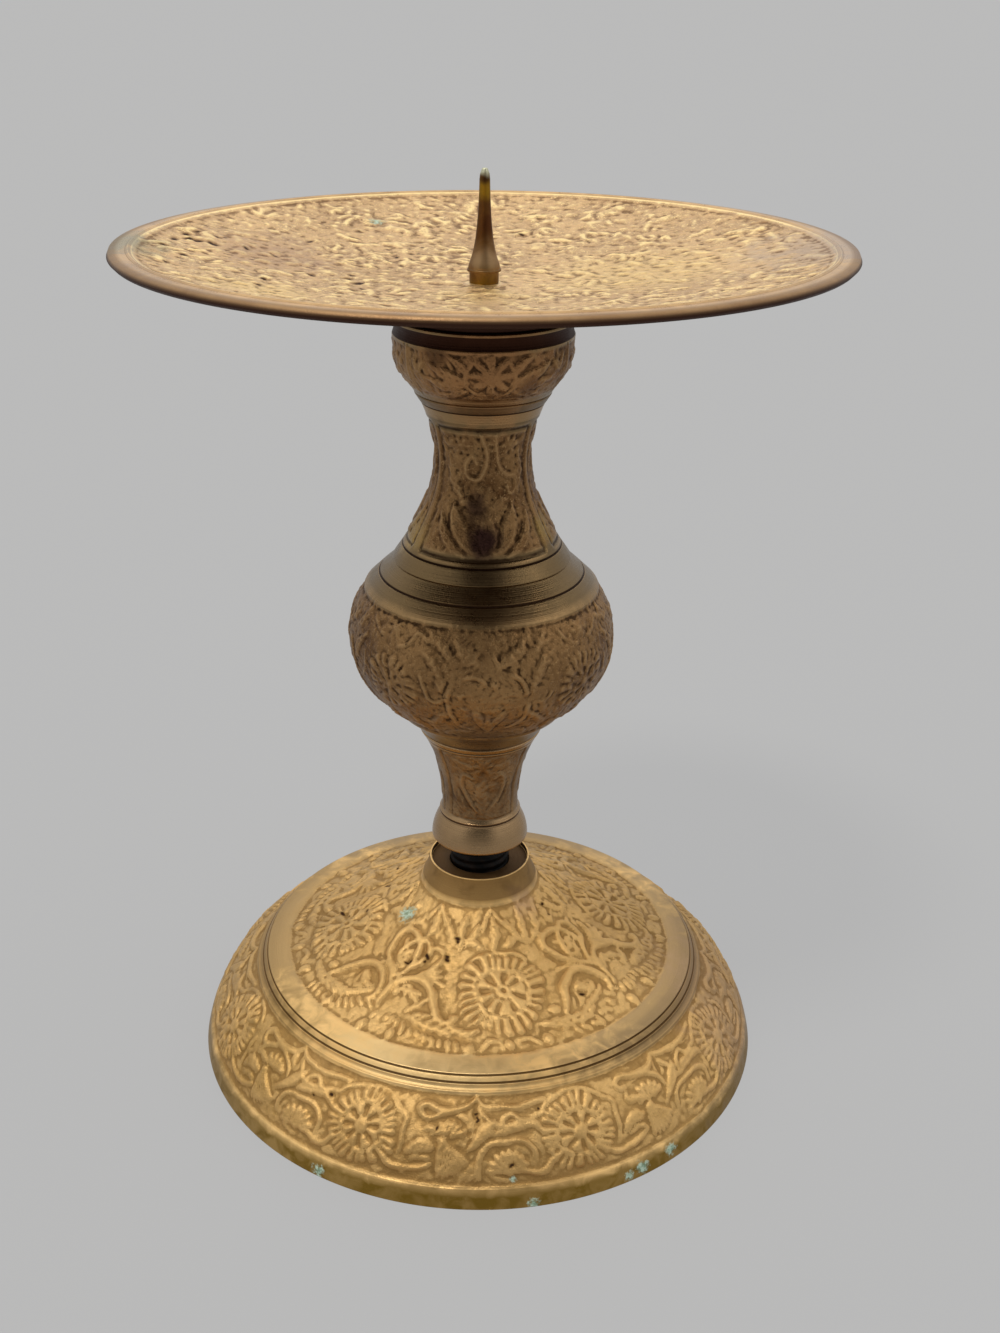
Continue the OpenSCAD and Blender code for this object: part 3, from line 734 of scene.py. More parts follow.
DOME_STROKES = [
    # A rosette under a garland
    (rosette, 0, 13.2, 8.8, 0.7, 27, 8, 0.15, 1.4, 7),
    (vine, [(17, 18.2), (12, 20.4), (6, 21.7), (0, 22.1), (-6, 21.7), (-12, 20.4), (-17, 18.2)], 0.8, 0.6),
    # The S scroll on its left, with its leaves
    (boss, -18.0, 7.9, 1.1, 0.6, 0.5),
    (vine, [(-16.8, 8.4), (-18.6, 7.0), (-22.4, 7.2), (-26, 9.8), (-28.8, 12.4), (-33, 14.0), (-38.5, 14.2),
        (-43, 12.6), (-45, 9.6), (-45.2, 6.8)], 1.9, 0.85),
    (vine, [(-45.0, 11.4), (-48, 14.4), (-53, 15.6), (-58, 14.0)], 0.8, 0.5),
    (leaf, [(-33, 6.6), (-27, 6.2), (-20, 5.2), (-13, 4.7), (-8.4, 6.0)], 3.0, 0.6, 9),
    (vine, [(-30, 6.0), (-24, 4.4), (-17, 3.5), (-11, 4.0)], 0.5, 0.5),
    (feathers, [(-44, 6.0), (-37, 5.6), (-29, 4.4), (-20, 2.6), (-12, 2.6)], 15, 2.3, (-105, -60), 0.8,
        0.55),
    (leaf, [(-43, 9.8), (-40, 12.0), (-35, 11.4), (-31.6, 9.0)], 2.6, 0.5, 5, 4),
    (leaf, [(-35, 7.4), (-31, 9.8), (-27.6, 12.0)], 1.6, 0.5, 3),
    *[(leaf, [(-38.5, 14.6), ((a - 33) / 2, (b + 15.0) / 2), (a, b)], 1.7, 0.55, 0)
      for a, b in ((-24.5, 18.4), (-23.6, 16.6), (-24.4, 14.6), (-27.6, 20.8))],
    (vine, [(-44.6, 13.2), (-43, 16.2), (-37.6, 18.6), (-36.6, 21.0), (-41.5, 22.6), (-48, 21.6),
        (-52, 18.6), (-51, 16.0)], 1.5, 0.75),
    (leaf, [(-44.6, 16.2), (-46, 18.8), (-43, 20.8)], 2.4, 0.45, 3),
    (vine, [(-37.0, 19.4), (-33.6, 21.8), (-29, 21.6), (-27.6, 19.6)], 0.8, 0.5),
    *[(cut, way, 0.9, 0.35) for way in (((-44.3, 18.2), (-45.0, 16.8)), ((-40.2, 20.4), (-36.2, 18.0)),
                                        ((-28.3, 21.6), (-27.2, 20.4)))],
    # The scroll and the teardrop on its right
    (boss, 17.2, 7.5, 0.9, 0.55, 0.5),
    (vine, [(20.2, 6.2), (23.8, 9.8), (27.4, 12.5), (32, 13.7), (37.2, 13.2), (41.2, 11.0), (42.4, 8.4),
        (40.8, 6.2)], 1.9, 0.85),
    (vine, [(25.6, 15.7), (31, 15.4), (36.4, 14.8), (41, 13.6), (44.3, 11.6), (45.6, 8.4)], 0.8, 0.55),
    (leaf, [(11.4, 5.6), (17, 4.7), (23, 4.5), (29.6, 5.2), (35.4, 6.9), (40, 9.2)], 2.4, 0.6, 10),
    (feathers, [(19, 3.0), (27, 3.2), (35, 4.8), (42, 7.6)], 11, 2.4, (-80, -25), 0.8, 0.55),
    (cut, [(27.4, 11.6), (27.8, 8.4), (25.6, 6.6)], 0.7, 0.3),
    (leaf, [(30.6, 11.4), (33.4, 9.6), (36.4, 9.4)], 2.0, 0.45, 3),
    (leaf, [(31.4, 7.6), (35, 8.4), (38.4, 10.4)], 1.6, 0.45, 3),
    (vine, [(43.6, 12.6), (38, 15.2), (32.6, 17.6), (29.5, 20.6), (32.8, 23.0), (39, 23.4), (45.2, 22.2),
        (48.4, 19.4), (47.0, 16.2), (44.2, 13.4)], 1.6, 0.8),
    (leaf, [(43, 15.0), (40, 18.4), (35.4, 21.2)], 3.2, 0.5, 4),
    (cut, [(37.4, 18.6), (34.6, 20.2)], 0.8, 0.3),
]


def dome_relief(chart):
    """Four rosettes on the dome among scrolls, feathered leaves and leaf tips."""
    prepare(chart, 31, 4, 9.5, (0.5, 0.1, chart.length - 0.2, 0.3), (3.4, 0.09), (0.3, 7))
    strokes(chart, DOME_STROKES)
    dome_crown(chart)
    dome_border(chart)
    settle(chart, 41, (0.07, 0.035, 0.025), 1.35)
    pits(chart, DOME_PITS, 0.42, 0.3, 43)
    chart.high -= COLLAR_LINE * bell(chart.run - chart.length + COLLAR_IN, COLLAR_WIDTH)


# The line turned under the collar, in mm: its depth, its place before the zone's end, and its width
COLLAR_LINE, COLLAR_IN, COLLAR_WIDTH = 0.25, 0.25, 0.22
DOME_PITS = [(-34.6, 17.5), (-35.6, 16.8), (-27.6, 19.5), (-27.5, 18.4), (-17.4, 20.7), (-16.8, 19.9),
             (-13.9, 24.6), (-13.4, 24.0), (-103.2, 22.0), (-104.5, 21.2), (-122.6, 20.9), (-127.7, 19.6),
             (-136.0, 22.0), (-132.1, 22.0), (-90.2, 12.1), (-85.5, 13.8), (-79.9, 16.2), (-83.3, 18.0),
             (61.0, 27.9), (57.8, 25.6), (40, 8.6)]


def dome_crown(chart):
    """Pointed leaves round the collar, with veined leaves between them."""
    for at in (-43.5, 1.5):
        for side in (-1, 1):
            vine(chart, [(at + side * 9.5, 26.4), (at + side * 5.4, 28.8), (at, 30.6)], 0.6, 0.5, (0.5, 0.9))
        leaf(chart, [(at, 23.4), (at, 26.6), (at, 29.6)], 2.3, 0.5, ribs=4, lobes=3)
    for at in (-21, 24):
        leaf(chart, [(at, 22.6), (at - 1, 26.0), (at + 1, 30.4)], 2.3, 0.5, ribs=5, lobes=4)
        for low, on, tip in ((-2, -9, -13), (2, 9, 12)):
            leaf(chart, [(at + low, 23.0), (at + on, 25.2), (at + tip, 28.0)], 1.8, 0.45, ribs=4, lobes=3)
    for at in (-14, 12, 0):
        leaf(chart, [(at * 0.6, 22.6), (at, 24.2), (at * 1.5, 24.6)], 1.5, 0.45, ribs=3)


def dome_border(chart):
    """Small leaf tips along the outer edge of the dome."""
    for at in (-46, -36, -12, -0.5, 11.4, 29, 44.4):
        leaf(chart, [(at, 3.0), (at, 0.3)], 1.7, 0.5, ribs=0)
    for way in ([(-9.6, 1.4), (-6, 3.6), (-2.4, 3.0)], [(8.8, 1.4), (5.2, 3.6), (1.6, 3.0)]):
        vine(chart, way, 0.7, 0.5)


BULB_SIDES = [
    (vine, [(2.6, 17.4), (3.6, 19.8), (7, 21.2), (11, 20.8), (15.2, 18.7), (17.2, 15), (17.0, 11.4),
        (13, 8.2), (6, 6.4)], 0.8, 0.26),
    (vine, [(6.4, 14.4), (8.6, 17.2), (12, 16.6), (12.4, 14.0), (9.6, 13.2)], 0.6, 0.22),
    (leaf, [(6.4, 13.4), (3.2, 10.4), (0.6, 6.4)], 1.7, 0.26, 4),
    (leaf, [(19.4, 17.2), (22.4, 21.4), (29, 24.6)], 2.6, 0.25, 6, 4),
    (leaf, [(18.6, 12.6), (24, 9.0), (31, 7.4)], 2.4, 0.25, 6, 4),
    (leaf, [(4.2, 22.4), (9, 24.4), (15, 27.6)], 2.2, 0.25, 5, 3),
    (leaf, [(17, 24.4), (22, 26.4), (25, 29.2)], 2.0, 0.22, 4, 3),
    (vine, [(17.8, 15), (23, 14.6), (28, 17.6), (30, 21)], 0.6, 0.22),
    (vine, [(24, 26.2), (31, 27.6), (38, 25.4), (45, 24.2)], 0.6, 0.22),
    (leaf, [(8, 5.4), (17, 4.6), (24, 2.0)], 2.4, 0.24, 5),
    (leaf, [(38, 8.6), (34, 5.0), (36, 1.6)], 2.2, 0.24, 4),
]
BULB_STROKES = [
    *mirrored(BULB_SIDES),
    (vine, [(0.4, 16.5), (2.2, 20.0), (4.0, 22.6), (0.6, 24.8), (-3.0, 26.6), (-2.4, 29.0)], 0.7, 0.24),
    (vine, [(0, 3.0), (0.4, 8), (-0.2, 13)], 0.8, 0.24),
    (rosette, 45, 16.6, 5.8, 0.18, 18, 7, 0.15, 0.0, 9),
    (flower, -8.4, 24.6, 1.8, 0.24, 5, 0.8),
    (flower, 45, 27.2, 2.0, 0.22, 6, 0.8),
]


def bulb_relief(chart):
    """Heart-shaped arches and rosettes round the ball of the stem, on a sandy ground."""
    prepare(chart, 51, 4, 3.5, (0.22, 0.3, chart.length - 0.3), (1.1, 0.07), (0.35, 6))
    strokes(chart, BULB_STROKES)
    settle(chart, 61, (0.02, 0.02, 0.03), 1.6)


def panel_frame(chart, low, high, half, width=0.9, depth=0.28):
    """An incised frame round each panel of the stem. Between the frames the metal stays plain."""
    offs = [(np.degrees(chart.angle) - turned + 180) % 360 - 180 for turned in copies(chart)]
    edge = [np.minimum.reduce([np.abs(off - side * half) for off in offs]) for side in (-1, 1)]
    aside = np.radians(np.minimum(*edge)) * np.hypot(chart.place[:, 0], chart.place[:, 1])
    inside = (chart.run > low) & (chart.run < high)
    between = np.minimum.reduce([np.abs(off) for off in offs]) < half
    line = bell(aside, width / 2, 4) * inside
    for run in (low, high):
        line = np.maximum(line, bell(chart.run - run, width / 2, 4) * between)
    chart.high *= between & inside
    chart.ground *= smooth_step(0, 0.6, aside) * (between & inside)
    chart.high -= depth * line


NECK_STROKES = [
    (leaf, [(3, 1.8), (3.4, 5.4), (3.6, 9.6)], 3.2, 0.4, 0, 0, 0.5),
    (leaf, [(0, 1.8), (-12, 3.6), (-22, 6.6), (-31, 10.6)], 3.0, 0.5, 0, 0, 0.0, 0.6),
    (leaf, [(5, 1.8), (17, 3.8), (24, 6.8), (31, 10.8)], 3.0, 0.5, 0, 0, 0.0, 0.6),
    (leaf, [(-14, 1.6), (-28, 3.4), (-38, 6.0), (-44, 9.4)], 1.8, 0.4, 5),
    (leaf, [(18, 1.6), (32, 3.4), (42, 6.0), (48, 9.4)], 1.8, 0.4, 5),
    (vine, [(-2, 24), (2.4, 20.6), (1, 17.2), (-7, 15.2), (-17, 15.8), (-19, 18.4), (-12, 19.8),
        (-7, 18.2)], 0.9, 0.42),
    (vine, [(12, 24), (14, 21), (19, 18), (28, 16.2), (37, 15.6), (38, 13.6), (31, 12.8), (27, 14.4)], 0.9,
        0.42),
    (leaf, [(-24, 12.0), (-34, 14.8), (-42, 19.4)], 2.0, 0.4, 5, 4),
    (leaf, [(40, 12.6), (45, 16.0), (44, 20.6)], 1.8, 0.4, 5, 4),
    (leaf, [(-8, 10.2), (-18, 11.4), (-26, 11.0)], 1.6, 0.36, 3),
    (leaf, [(10, 10.4), (19, 11.8), (27, 11.6)], 1.6, 0.36, 3),
    (flower, -26, 21.6, 1.9, 0.42, 6, 0.8),
    (flower, 30, 21.6, 1.9, 0.42, 6, 0.8),
    (flower, 4, 12.8, 1.7, 0.4, 5, 0.8),
    (leaf, [(-34, 22.8), (-42, 21.6), (-48, 22.8)], 1.3, 0.36, 3),
]


def neck_relief(chart):
    """Three framed panels on the neck, each with a tulip under two curls."""
    prepare(chart, 71, 3, 1, (0.15, 1.2, 24.4, 1.4), (2.6, 0.05), STEM_BEND)
    strokes(chart, NECK_STROKES)
    settle(chart, 81, STEM_ROUGH, 1.2)
    panel_frame(chart, 1.0, 24.5, 54)


STEM_BEND, STEM_ROUGH = (0.15, 5), (0.05, 0.04, 0.03)


LOWER_SIDES = [
    (vine, [(6, 2.4), (20, 5.0), (30, 8.6), (24, 11.4), (14, 10.4)], 0.9, 0.4),
    (leaf, [(26, 3.0), (38, 5.6), (44, 9.4)], 2.0, 0.36, 4),
    (leaf, [(12, 13.4), (24, 13.8), (36, 15.6)], 1.9, 0.36, 4),
]
LOWER_STROKES = [
    *mirrored(LOWER_SIDES),
    (leaf, [(0, 2.2), (-2, 6), (1, 11)], 3.2, 0.4, 6, 4),
    (flower, 0, 14.0, 2.1, 0.42, 6, 0.9),
]


def lower_relief(chart):
    """Three panels on the lower neck, each with a leaf between two curls."""
    prepare(chart, 91, 3, 4, (0.13, 0.8, chart.length - 0.6), (2.6, 0.06), STEM_BEND)
    strokes(chart, LOWER_STROKES)
    settle(chart, 95, (0.04, 0.04, 0.03), 1.2, 1.3)
    panel_frame(chart, 0.8, chart.length - 0.7, 50, width=0.55, depth=0.24)


KNOP_SIDES = [
    (leaf, [(15, 5.6), (26, 6.4), (40, 8.6)], 2.2, 0.45, 5),
    (leaf, [(17, 4.8), (30, 4.6), (44, 5.8)], 2.0, 0.45, 5),
    (leaf, [(15, 3.8), (26, 2.8), (38, 2.6)], 1.7, 0.4, 4),
    (leaf, [(14, 7.4), (20, 9.0), (28, 10.2)], 1.6, 0.4, 4),
    (vine, [(11, 3.0), (16, 4.6), (15, 7.2), (11, 9.6)], 0.7, 0.36),
    (leaf, [(44, 8.8), (50, 7.6), (54, 9.4)], 1.5, 0.4, 3),
]
KNOP_STROKES = [
    (flower, 0, 6.9, 4.2, 0.5, 8, 1.2, 0.2),
    *mirrored(KNOP_SIDES),
]


def knop_relief(chart):
    """A pointed flower between leaf sprigs on each third of the knop."""
    prepare(chart, 101, 3, 5, (0.16, 1.2, chart.length - 0.2), (2.8, 0.06), STEM_BEND)
    strokes(chart, KNOP_STROKES)
    settle(chart, 111, STEM_ROUGH, 1.3)
    panel_frame(chart, 1.0, chart.length + 1, 58, width=0.4, depth=0.16)


def pan_relief(chart):
    """Dense foliage all over the floor of the pan. The run goes from the rim inwards."""
    prepare(chart, 121, 1, 0.0, (0.36, 0.4, chart.length - 0.6), (2.4, 0.09), (0.4, 6))
    scribbles(chart, 4.8, 0.17, 140)
    scribbles(chart, 2.8, 0.12, 142)
    rng = np.random.default_rng(124)
    for draw, count, *area in ((pan_leaf, PAN_LEAVES, 0.01, 0.93), (pan_spray, PAN_SPRAYS, 0.004, 0.9)):
        for _ in range(count):
            x, y = PAN_FLOOR * math.sqrt(rng.uniform(*area)) * unit(rng.normal(size=2))
            draw(chart, x, y, rng)
    for ring, count in ((47, 9), (30, 6), (14, 3)):
        for k in range(count):
            turned = 360 * (k + rng.uniform(0.2, 0.8)) / count
            where = PAN_FLOOR - ring + rng.uniform(-3, 3)
            flower(chart, turned, where, rng.uniform(2.6, 4.2), 0.3, petals=rng.integers(6, 11), pointed=0.6,
                   spin=rng.uniform(0, 360))
    pits(chart, DISH_PITS, 0.75, 0.3, 125)
    pits(chart, [(rng.normal(-85, 50), rng.uniform(3, 45)) for _ in range(PAN_PITS)], 0.4, 0.2, 126)
    settle(chart, 131, (0.05, 0.05, 0.04), 1.2, 1)


PAN_FLOOR, PAN_LEAVES, PAN_SPRAYS, PAN_PITS = 59.6, 110, 300, 70
DISH_PITS = [(-101.2, 6.1), (-101.7, 7.7), (-104.2, 4.4), (-103, 5.2), (-91, 4.5), (-98.3, 4.4),
             (-85.9, 8.6), (-102.4, 10.3), (-88.7, 14.9), (-62.7, 18.6), (-73.3, 21.8), (-91.2, 36.5),
             (-62.3, 35.8), (-79.4, 38.5), (-88.1, 30.5), (-83.6, 12.9), (-64.5, 19.4)]


def pan_spray(chart, x, y, rng):
    """Thin blades that spread from one spot of the pan's floor."""
    along, count = rng.uniform(0, 2 * math.pi), rng.integers(2, 5)
    for k in range(count):
        turn = along + (k - count / 2) * 0.3 + rng.normal(0, 0.06)
        size, bend = rng.uniform(3.5, 7.5), rng.uniform(-0.6, 0.6)
        vine(chart, pan_way(x, y, turn, size, bend, (0.12, 0.5, 1.0)), rng.uniform(0.55, 1.0),
             rng.uniform(0.25, 0.5), ends=(0.4, 0.3))


def pan_way(x, y, along, size, bend, shares):
    """A bent line from a spot (x, y) of the pan's floor, as (degrees, run) points."""
    way = []
    for share in shares:
        aside = bend * (1 - (2 * abs(share - sum(shares) / 3) / (shares[-1] - shares[0])) ** 2)
        px = x + size * share * math.cos(along) - aside * math.sin(along)
        py = y + size * share * math.sin(along) + aside * math.cos(along)
        way.append((math.degrees(math.atan2(px, -py)), PAN_FLOOR - math.hypot(px, py)))
    way = np.array(way)
    way[:, 0] = np.degrees(np.unwrap(np.radians(way[:, 0])))
    return way


def pan_leaf(chart, x, y, rng):
    """One leaf of the foliage, bent to one side, that mostly follows a swirl round the axis."""
    along = math.atan2(y, x) + rng.choice([0.5, -0.6, 1.4]) + rng.normal(0, 0.5)
    size = rng.uniform(4, 8.5)
    way = pan_way(x, y, along, size, rng.uniform(-1.2, 1.2), (-0.5, 0, 0.5))
    leaf(chart, way, size * rng.uniform(0.3, 0.45), rng.uniform(0.28, 0.42), int(size), int(size * 0.7))


def thread_relief(chart):
    """Cuts a right-hand thread round the stud."""
    turn = (chart.place[:, 2] / THREAD_PITCH - chart.angle / (2 * math.pi)) % 1
    chart.high -= THREAD_DEPTH * np.clip(1 - 2.4 * np.abs(turn - 0.5), 0, 1)


THREAD_PITCH, THREAD_DEPTH = 1.75, 0.5


def node(owner, kind, **inputs):
    """A shader node with its values set, in the node tree that owner is or belongs to, placed on a grid."""
    nodes = owner.id_data.nodes
    made = nodes.new(kind)
    down, across = divmod(len(nodes), NODE_COLUMNS)
    made.location = (NODE_GAP * across, -NODE_GAP * down)
    for key, value in inputs.items():
        if hasattr(made, key):
            setattr(made, key, value)
        else:
            made.inputs[key].default_value = value
    return made


NODE_COLUMNS, NODE_GAP = 12, 220


def link(source, target):
    """Joins two sockets."""
    target.id_data.links.new(source, target)


def noise(where, scale, detail, rough=0.55, warped=0.0):
    """A noise texture over object coordinates in metres."""
    made = node(where, "ShaderNodeTexNoise", Scale=scale, Detail=detail, Roughness=rough, Distortion=warped)
    link(where, made.inputs["Vector"])
    return made.outputs["Fac"]


def remap(source, low, high, to_low=0, to_high=1, smooth=False):
    """A value moved from one range to another, kept inside it."""
    made = node(source, "ShaderNodeMapRange", interpolation_type="SMOOTHSTEP" if smooth else "LINEAR")
    for socket, value in zip(("From Min", "From Max", "To Min", "To Max"), (low, high, to_low, to_high)):
        made.inputs[socket].default_value = value
    link(source, made.inputs["Value"])
    return made.outputs["Result"]


def fill(sockets, values):
    """Sets each socket to a number or a colour, or joins it to another socket."""
    for socket, value in zip(sockets, values):
        if isinstance(value, (int, float)):
            socket.default_value = value
        elif isinstance(value, tuple):
            socket.default_value = (*value, 1)
        else:
            link(value, socket)


def calc(operation, a, b):
    """Arithmetic on two sockets or numbers."""
    made = node(b if isinstance(a, (int, float)) else a, "ShaderNodeMath", operation=operation)
    fill(made.inputs, (a, b))
    return made.outputs[0]


def plus(a, b):
    """Sum of two sockets or numbers."""
    return calc("ADD", a, b)


def times(a, b):
    """Product of two sockets or numbers."""
    return calc("MULTIPLY", a, b)


def mixed(share, a, b):
    """Two colours mixed by a share."""
    made = node(share, "ShaderNodeMix", data_type="RGBA")
    fill((made.inputs[0], made.inputs[6], made.inputs[7]), (share, a, b))
    return made.outputs[2]


def axes(vector):
    """The three parts of a vector."""
    split = node(vector, "ShaderNodeSeparateXYZ")
    link(vector, split.inputs[0])
    return split.outputs


def away_from(where, place):
    """Distance in metres from a place given in mm."""
    away = node(where, "ShaderNodeVectorMath", operation="DISTANCE")
    link(where, away.inputs[0])
    away.inputs[1].default_value = [c * MM for c in place]
    return away.outputs["Value"]


def new_material(name):
    """A material, its shader's inputs and its object coordinates."""
    material = bpy.data.materials.new(name)
    material.use_nodes = True
    tree = material.node_tree
    where = node(tree, "ShaderNodeTexCoord").outputs["Object"]
    return material, tree.nodes["Principled BSDF"].inputs, where


def fields(where):
    """What the looks of the brass depend on: its mesh attributes, and noises of falling size."""
    at = SimpleNamespace(where=where)
    for label in ("worn", "chased", "soil"):
        setattr(at, label, node(where, "ShaderNodeAttribute", attribute_name=label).outputs["Fac"])
    for label, *look in BRASS_NOISES:
        setattr(at, label, noise(where, *look))
    return at


# Noises of the brass: name, scale per metre, detail, roughness and distortion
BRASS_NOISES = [("cloud", 55, 4), ("blotch", 260, 5, 0.55, 0.6), ("speck", 1300, 3, 0.65), ("fine", 3600, 2)]


def aged_brass(name, bright, dull, dirt_and_shade_colour, soot=0.7, gloss=0.3, metal_share=1.0, green=(), pits=0.5, grain=1.8,
               painted_glints=0.0, edge=None, plain=None, polish_and_highlight=None, shine=0.55, stains_and_painted_light=(), plain_painted_light=()):
    """Old brass: bright on its worn ridges, partly as a painted highlight, duller on the flats, with dirt in
    the hollows, painted shade where the soil marks ask, and verdigris.
    green is a list of (place, reach) in mm, and edge is the height in mm under which the metal is stained.
    The plain colour tints the turned faces, the polish colour paints the ridges by the share shine, as wear
    and painted highlight, and bright flecks paint small glints. The stain list holds (place, reach, colour,
    share) for stains and for painted light and shade; the list for plain faces, all painted light and shade,
    keeps to the turned faces."""
    material, shader, where = new_material(name)
    shader["Metallic"].default_value = metal_share
    at = fields(where)
    polish_and_highlight = polish_and_highlight or tuple(min(1, c * 1.2) for c in bright)
    metal = clouded(at, bright, dull, plain, plain_painted_light)
    metal = with_stains_and_painted_light(at, polished_and_highlit(at, metal, polish_and_highlight, shine, painted_glints), stains_and_painted_light)
    if edge:
        metal = mixed(edge_stain(at, edge), metal, STAIN)
    grime = grime_and_shade_share(at, soot, pits)
    # The dirt colour and soot darken the hollows, and also paint shade where the soil marks ask
    colour = mixed(remap(at.soil, 0.6, 1), mixed(grime, metal, dirt_and_shade_colour), SOOT_AND_SHADE)
    matt = plus(times(at.chased, 0.1), times(grime, 0.25))
    grit = plus(at.blotch, at.fine)
    rough = plus(matt, remap(grit, 0.7, 1.3, gloss - 0.06, gloss + 0.1))
    green_share = None
    for place, reach in green:
        spot = green_spot(at, place, reach)
        green_share = spot if green_share is None else calc("MAXIMUM", green_share, spot)
    if green_share is not None:
        crystals = remap(at.speck, 0.42, 0.6)
        colour = mixed(green_share, colour, mixed(crystals, VERDIGRIS, VERDIGRIS_PALE))
        rough = plus(rough, times(green_share, 0.5))
        link(remap(green_share, 0, 0.6, metal_share, 0), shader["Metallic"])
    link(colour, shader["Base Color"])
    link(rough, shader["Roughness"])
    bump(brass_height(at, green_share), 0.5, BRASS_BUMP * grain, shader)
    return material


VERDIGRIS, VERDIGRIS_PALE = (0.17, 0.30, 0.21), (0.50, 0.66, 0.54)
STAIN = (0.20, 0.11, 0.002)
# Depth of the bumps in metres
BRASS_BUMP, STEEL_BUMP = 0.0001, 0.00005
# How far the borders of stains waver at the foot's edge, in metres, and those of the spots, stains and
# patches of painted light and shade alike, as a share of a spot's reach. Within the core share of its reach
# a spot is full
EDGE_WAVER, SPOT_WAVER, SPOT_CORE = 0.003, 1.2, 0.3


def clouded(at, bright, dull, plain, plain_painted_light):
    """The metal's colour: cloudy where it is chased, and ringed with lathe marks where it is turned, with
    patches of painted light and shade on the turned faces when asked.
    """
    tone = remap(plus(at.cloud, at.blotch), 0.8, 1.2)
    metal = mixed(tone, dull, bright)
    if not plain:
        return metal
    streak = noise(across_and_up(at.where), 1100, 3)
    shade = plus(remap(tone, 0, 1, 0.35, 0), remap(streak, 0.35, 0.65, 0, 0.5))
    # Patches of painted light and shade over the turned faces
    mottled = with_stains_and_painted_light(at, mixed(shade, plain, tuple(0.8 * c for c in plain)), plain_painted_light)
    return mixed(remap(at.chased, 0, 1, 0.9, 0), metal, mottled)


def polished_and_highlit(at, metal, polish_and_highlight, shine, painted_glints):
    """The metal with its ridges and polished places bright, as wear and partly as painted highlight, and
    small bright flecks in the chased zones painted as glints.
    """
    # Worn ridges take the polish colour: wear, and partly a painted highlight
    ridge = times(remap(at.worn, 0.1, 0.9, smooth=True), shine)
    metal = mixed(calc("MAXIMUM", ridge, remap(at.soil, 0, -1)), metal, polish_and_highlight)
    # Bright flecks painted as small glints on the chased ground
    if painted_glints:
        painted_glint = times(remap(plus(at.speck, at.fine), 1.08, 1.26, 0, painted_glints), at.chased)
        metal = mixed(painted_glint, metal, polish_and_highlight)
    return metal


def off_middle(field, size):
    """A noise as a swing to both sides of 0."""
    return times(calc("SUBTRACT", field, 0.5), size)


def with_stains_and_painted_light(at, colour, stains_and_painted_light):
    """A colour with soft-edged spots over it: stains, and patches of painted light and shade."""
    for place, reach, tint, share in stains_and_painted_light:
        waver = off_middle(at.blotch, SPOT_WAVER * reach * MM)
        away = plus(away_from(at.where, place), waver)
        spot = remap(away, SPOT_CORE * reach * MM, reach * MM, share, 0, smooth=True)
        colour = mixed(spot, colour, tint)
    return colour


def edge_stain(at, top):
    """Share of the olive stain near the bottom edge, with an uneven border."""
    border = plus(axes(at.where)[2], off_middle(at.blotch, EDGE_WAVER))
    return times(remap(border, (top - 0.5) * MM, (top + 0.9) * MM, 0.95, 0),
                 remap(at.blotch, 0.38, 0.6, 0.68, 1))


def grime_and_shade_share(at, soot, pits):
    """How dark the metal is: dirt in its hollows and in the pits of the chased ground, and the dirt and
    painted shade that the soil marks give.
    """
    uneven_worn = plus(at.worn, off_middle(at.speck, 0.7))
    hollow = remap(uneven_worn, -0.05, -0.8, smooth=True)
    grime = times(times(hollow, soot), remap(at.blotch, 0.35, 0.65, 0.55, 1.0))
    mottle = times(remap(at.speck, 0.54, 0.7, 0, pits), remap(at.blotch, 0.45, 0.65))
    grime = calc("MAXIMUM", grime, times(mottle, plus(0.05, at.chased)))
    return calc("MAXIMUM", grime, at.soil)


def green_spot(at, place, reach):
    """Share of verdigris round a place, broken up by noise."""
    close = remap(away_from(at.where, place), 0, reach * MM, 1, 0)
    broken = plus(times(at.speck, 0.6), times(at.blotch, 0.4))
    return remap(plus(times(close, 0.5), broken), 0.70, 0.88, 0, 0.85)


def across_and_up(where):
    """Coordinates (radius, 0, height), in which noise makes rings round the axis."""
    x, y, z = axes(where)
    joined = node(where, "ShaderNodeCombineXYZ")
    link(calc("SQRT", plus(times(x, x), times(y, y)), 0), joined.inputs[0])
    link(z, joined.inputs[2])
    return joined.outputs[0]


def brass_height(at, green_share):
    """Bump: the matted ground of the chased zones, and fine lathe lines on the turned faces."""
    matted = plus(times(at.speck, 0.8), times(at.fine, 0.4))
    lathe = times(noise(across_and_up(at.where), 4200, 2), 0.22)
    plain = plus(lathe, times(at.fine, 0.12))
    blend = node(plain, "ShaderNodeMix", data_type="FLOAT")
    fill((blend.inputs[0], blend.inputs[2], blend.inputs[3]), (at.chased, plain, matted))
    return blend.outputs[0] if green_share is None else plus(blend.outputs[0], green_share)


def bump(height, strength, depth, shader):
    """Roughens a shader's surface by a height."""
    made = node(height, "ShaderNodeBump", Strength=strength, Distance=depth)
    link(height, made.inputs["Height"])
    link(made.outputs["Normal"], shader["Normal"])


def blackened_steel(name):
    """Dark oily steel of the stud."""
    material, shader, where = new_material(name)
    shader["Metallic"].default_value = 0.7
    fine = noise(where, 3000, 3)
    oily = remap(noise(where, 500, 4), 0.45, 0.7)
    link(mixed(oily, (0.004, 0.004, 0.004), (0.02, 0.012, 0.008)), shader["Base Color"])
    link(remap(fine, 0.3, 0.7, 0.45, 0.7), shader["Roughness"])
    bump(fine, 0.4, STEEL_BUMP, shader)
    return material


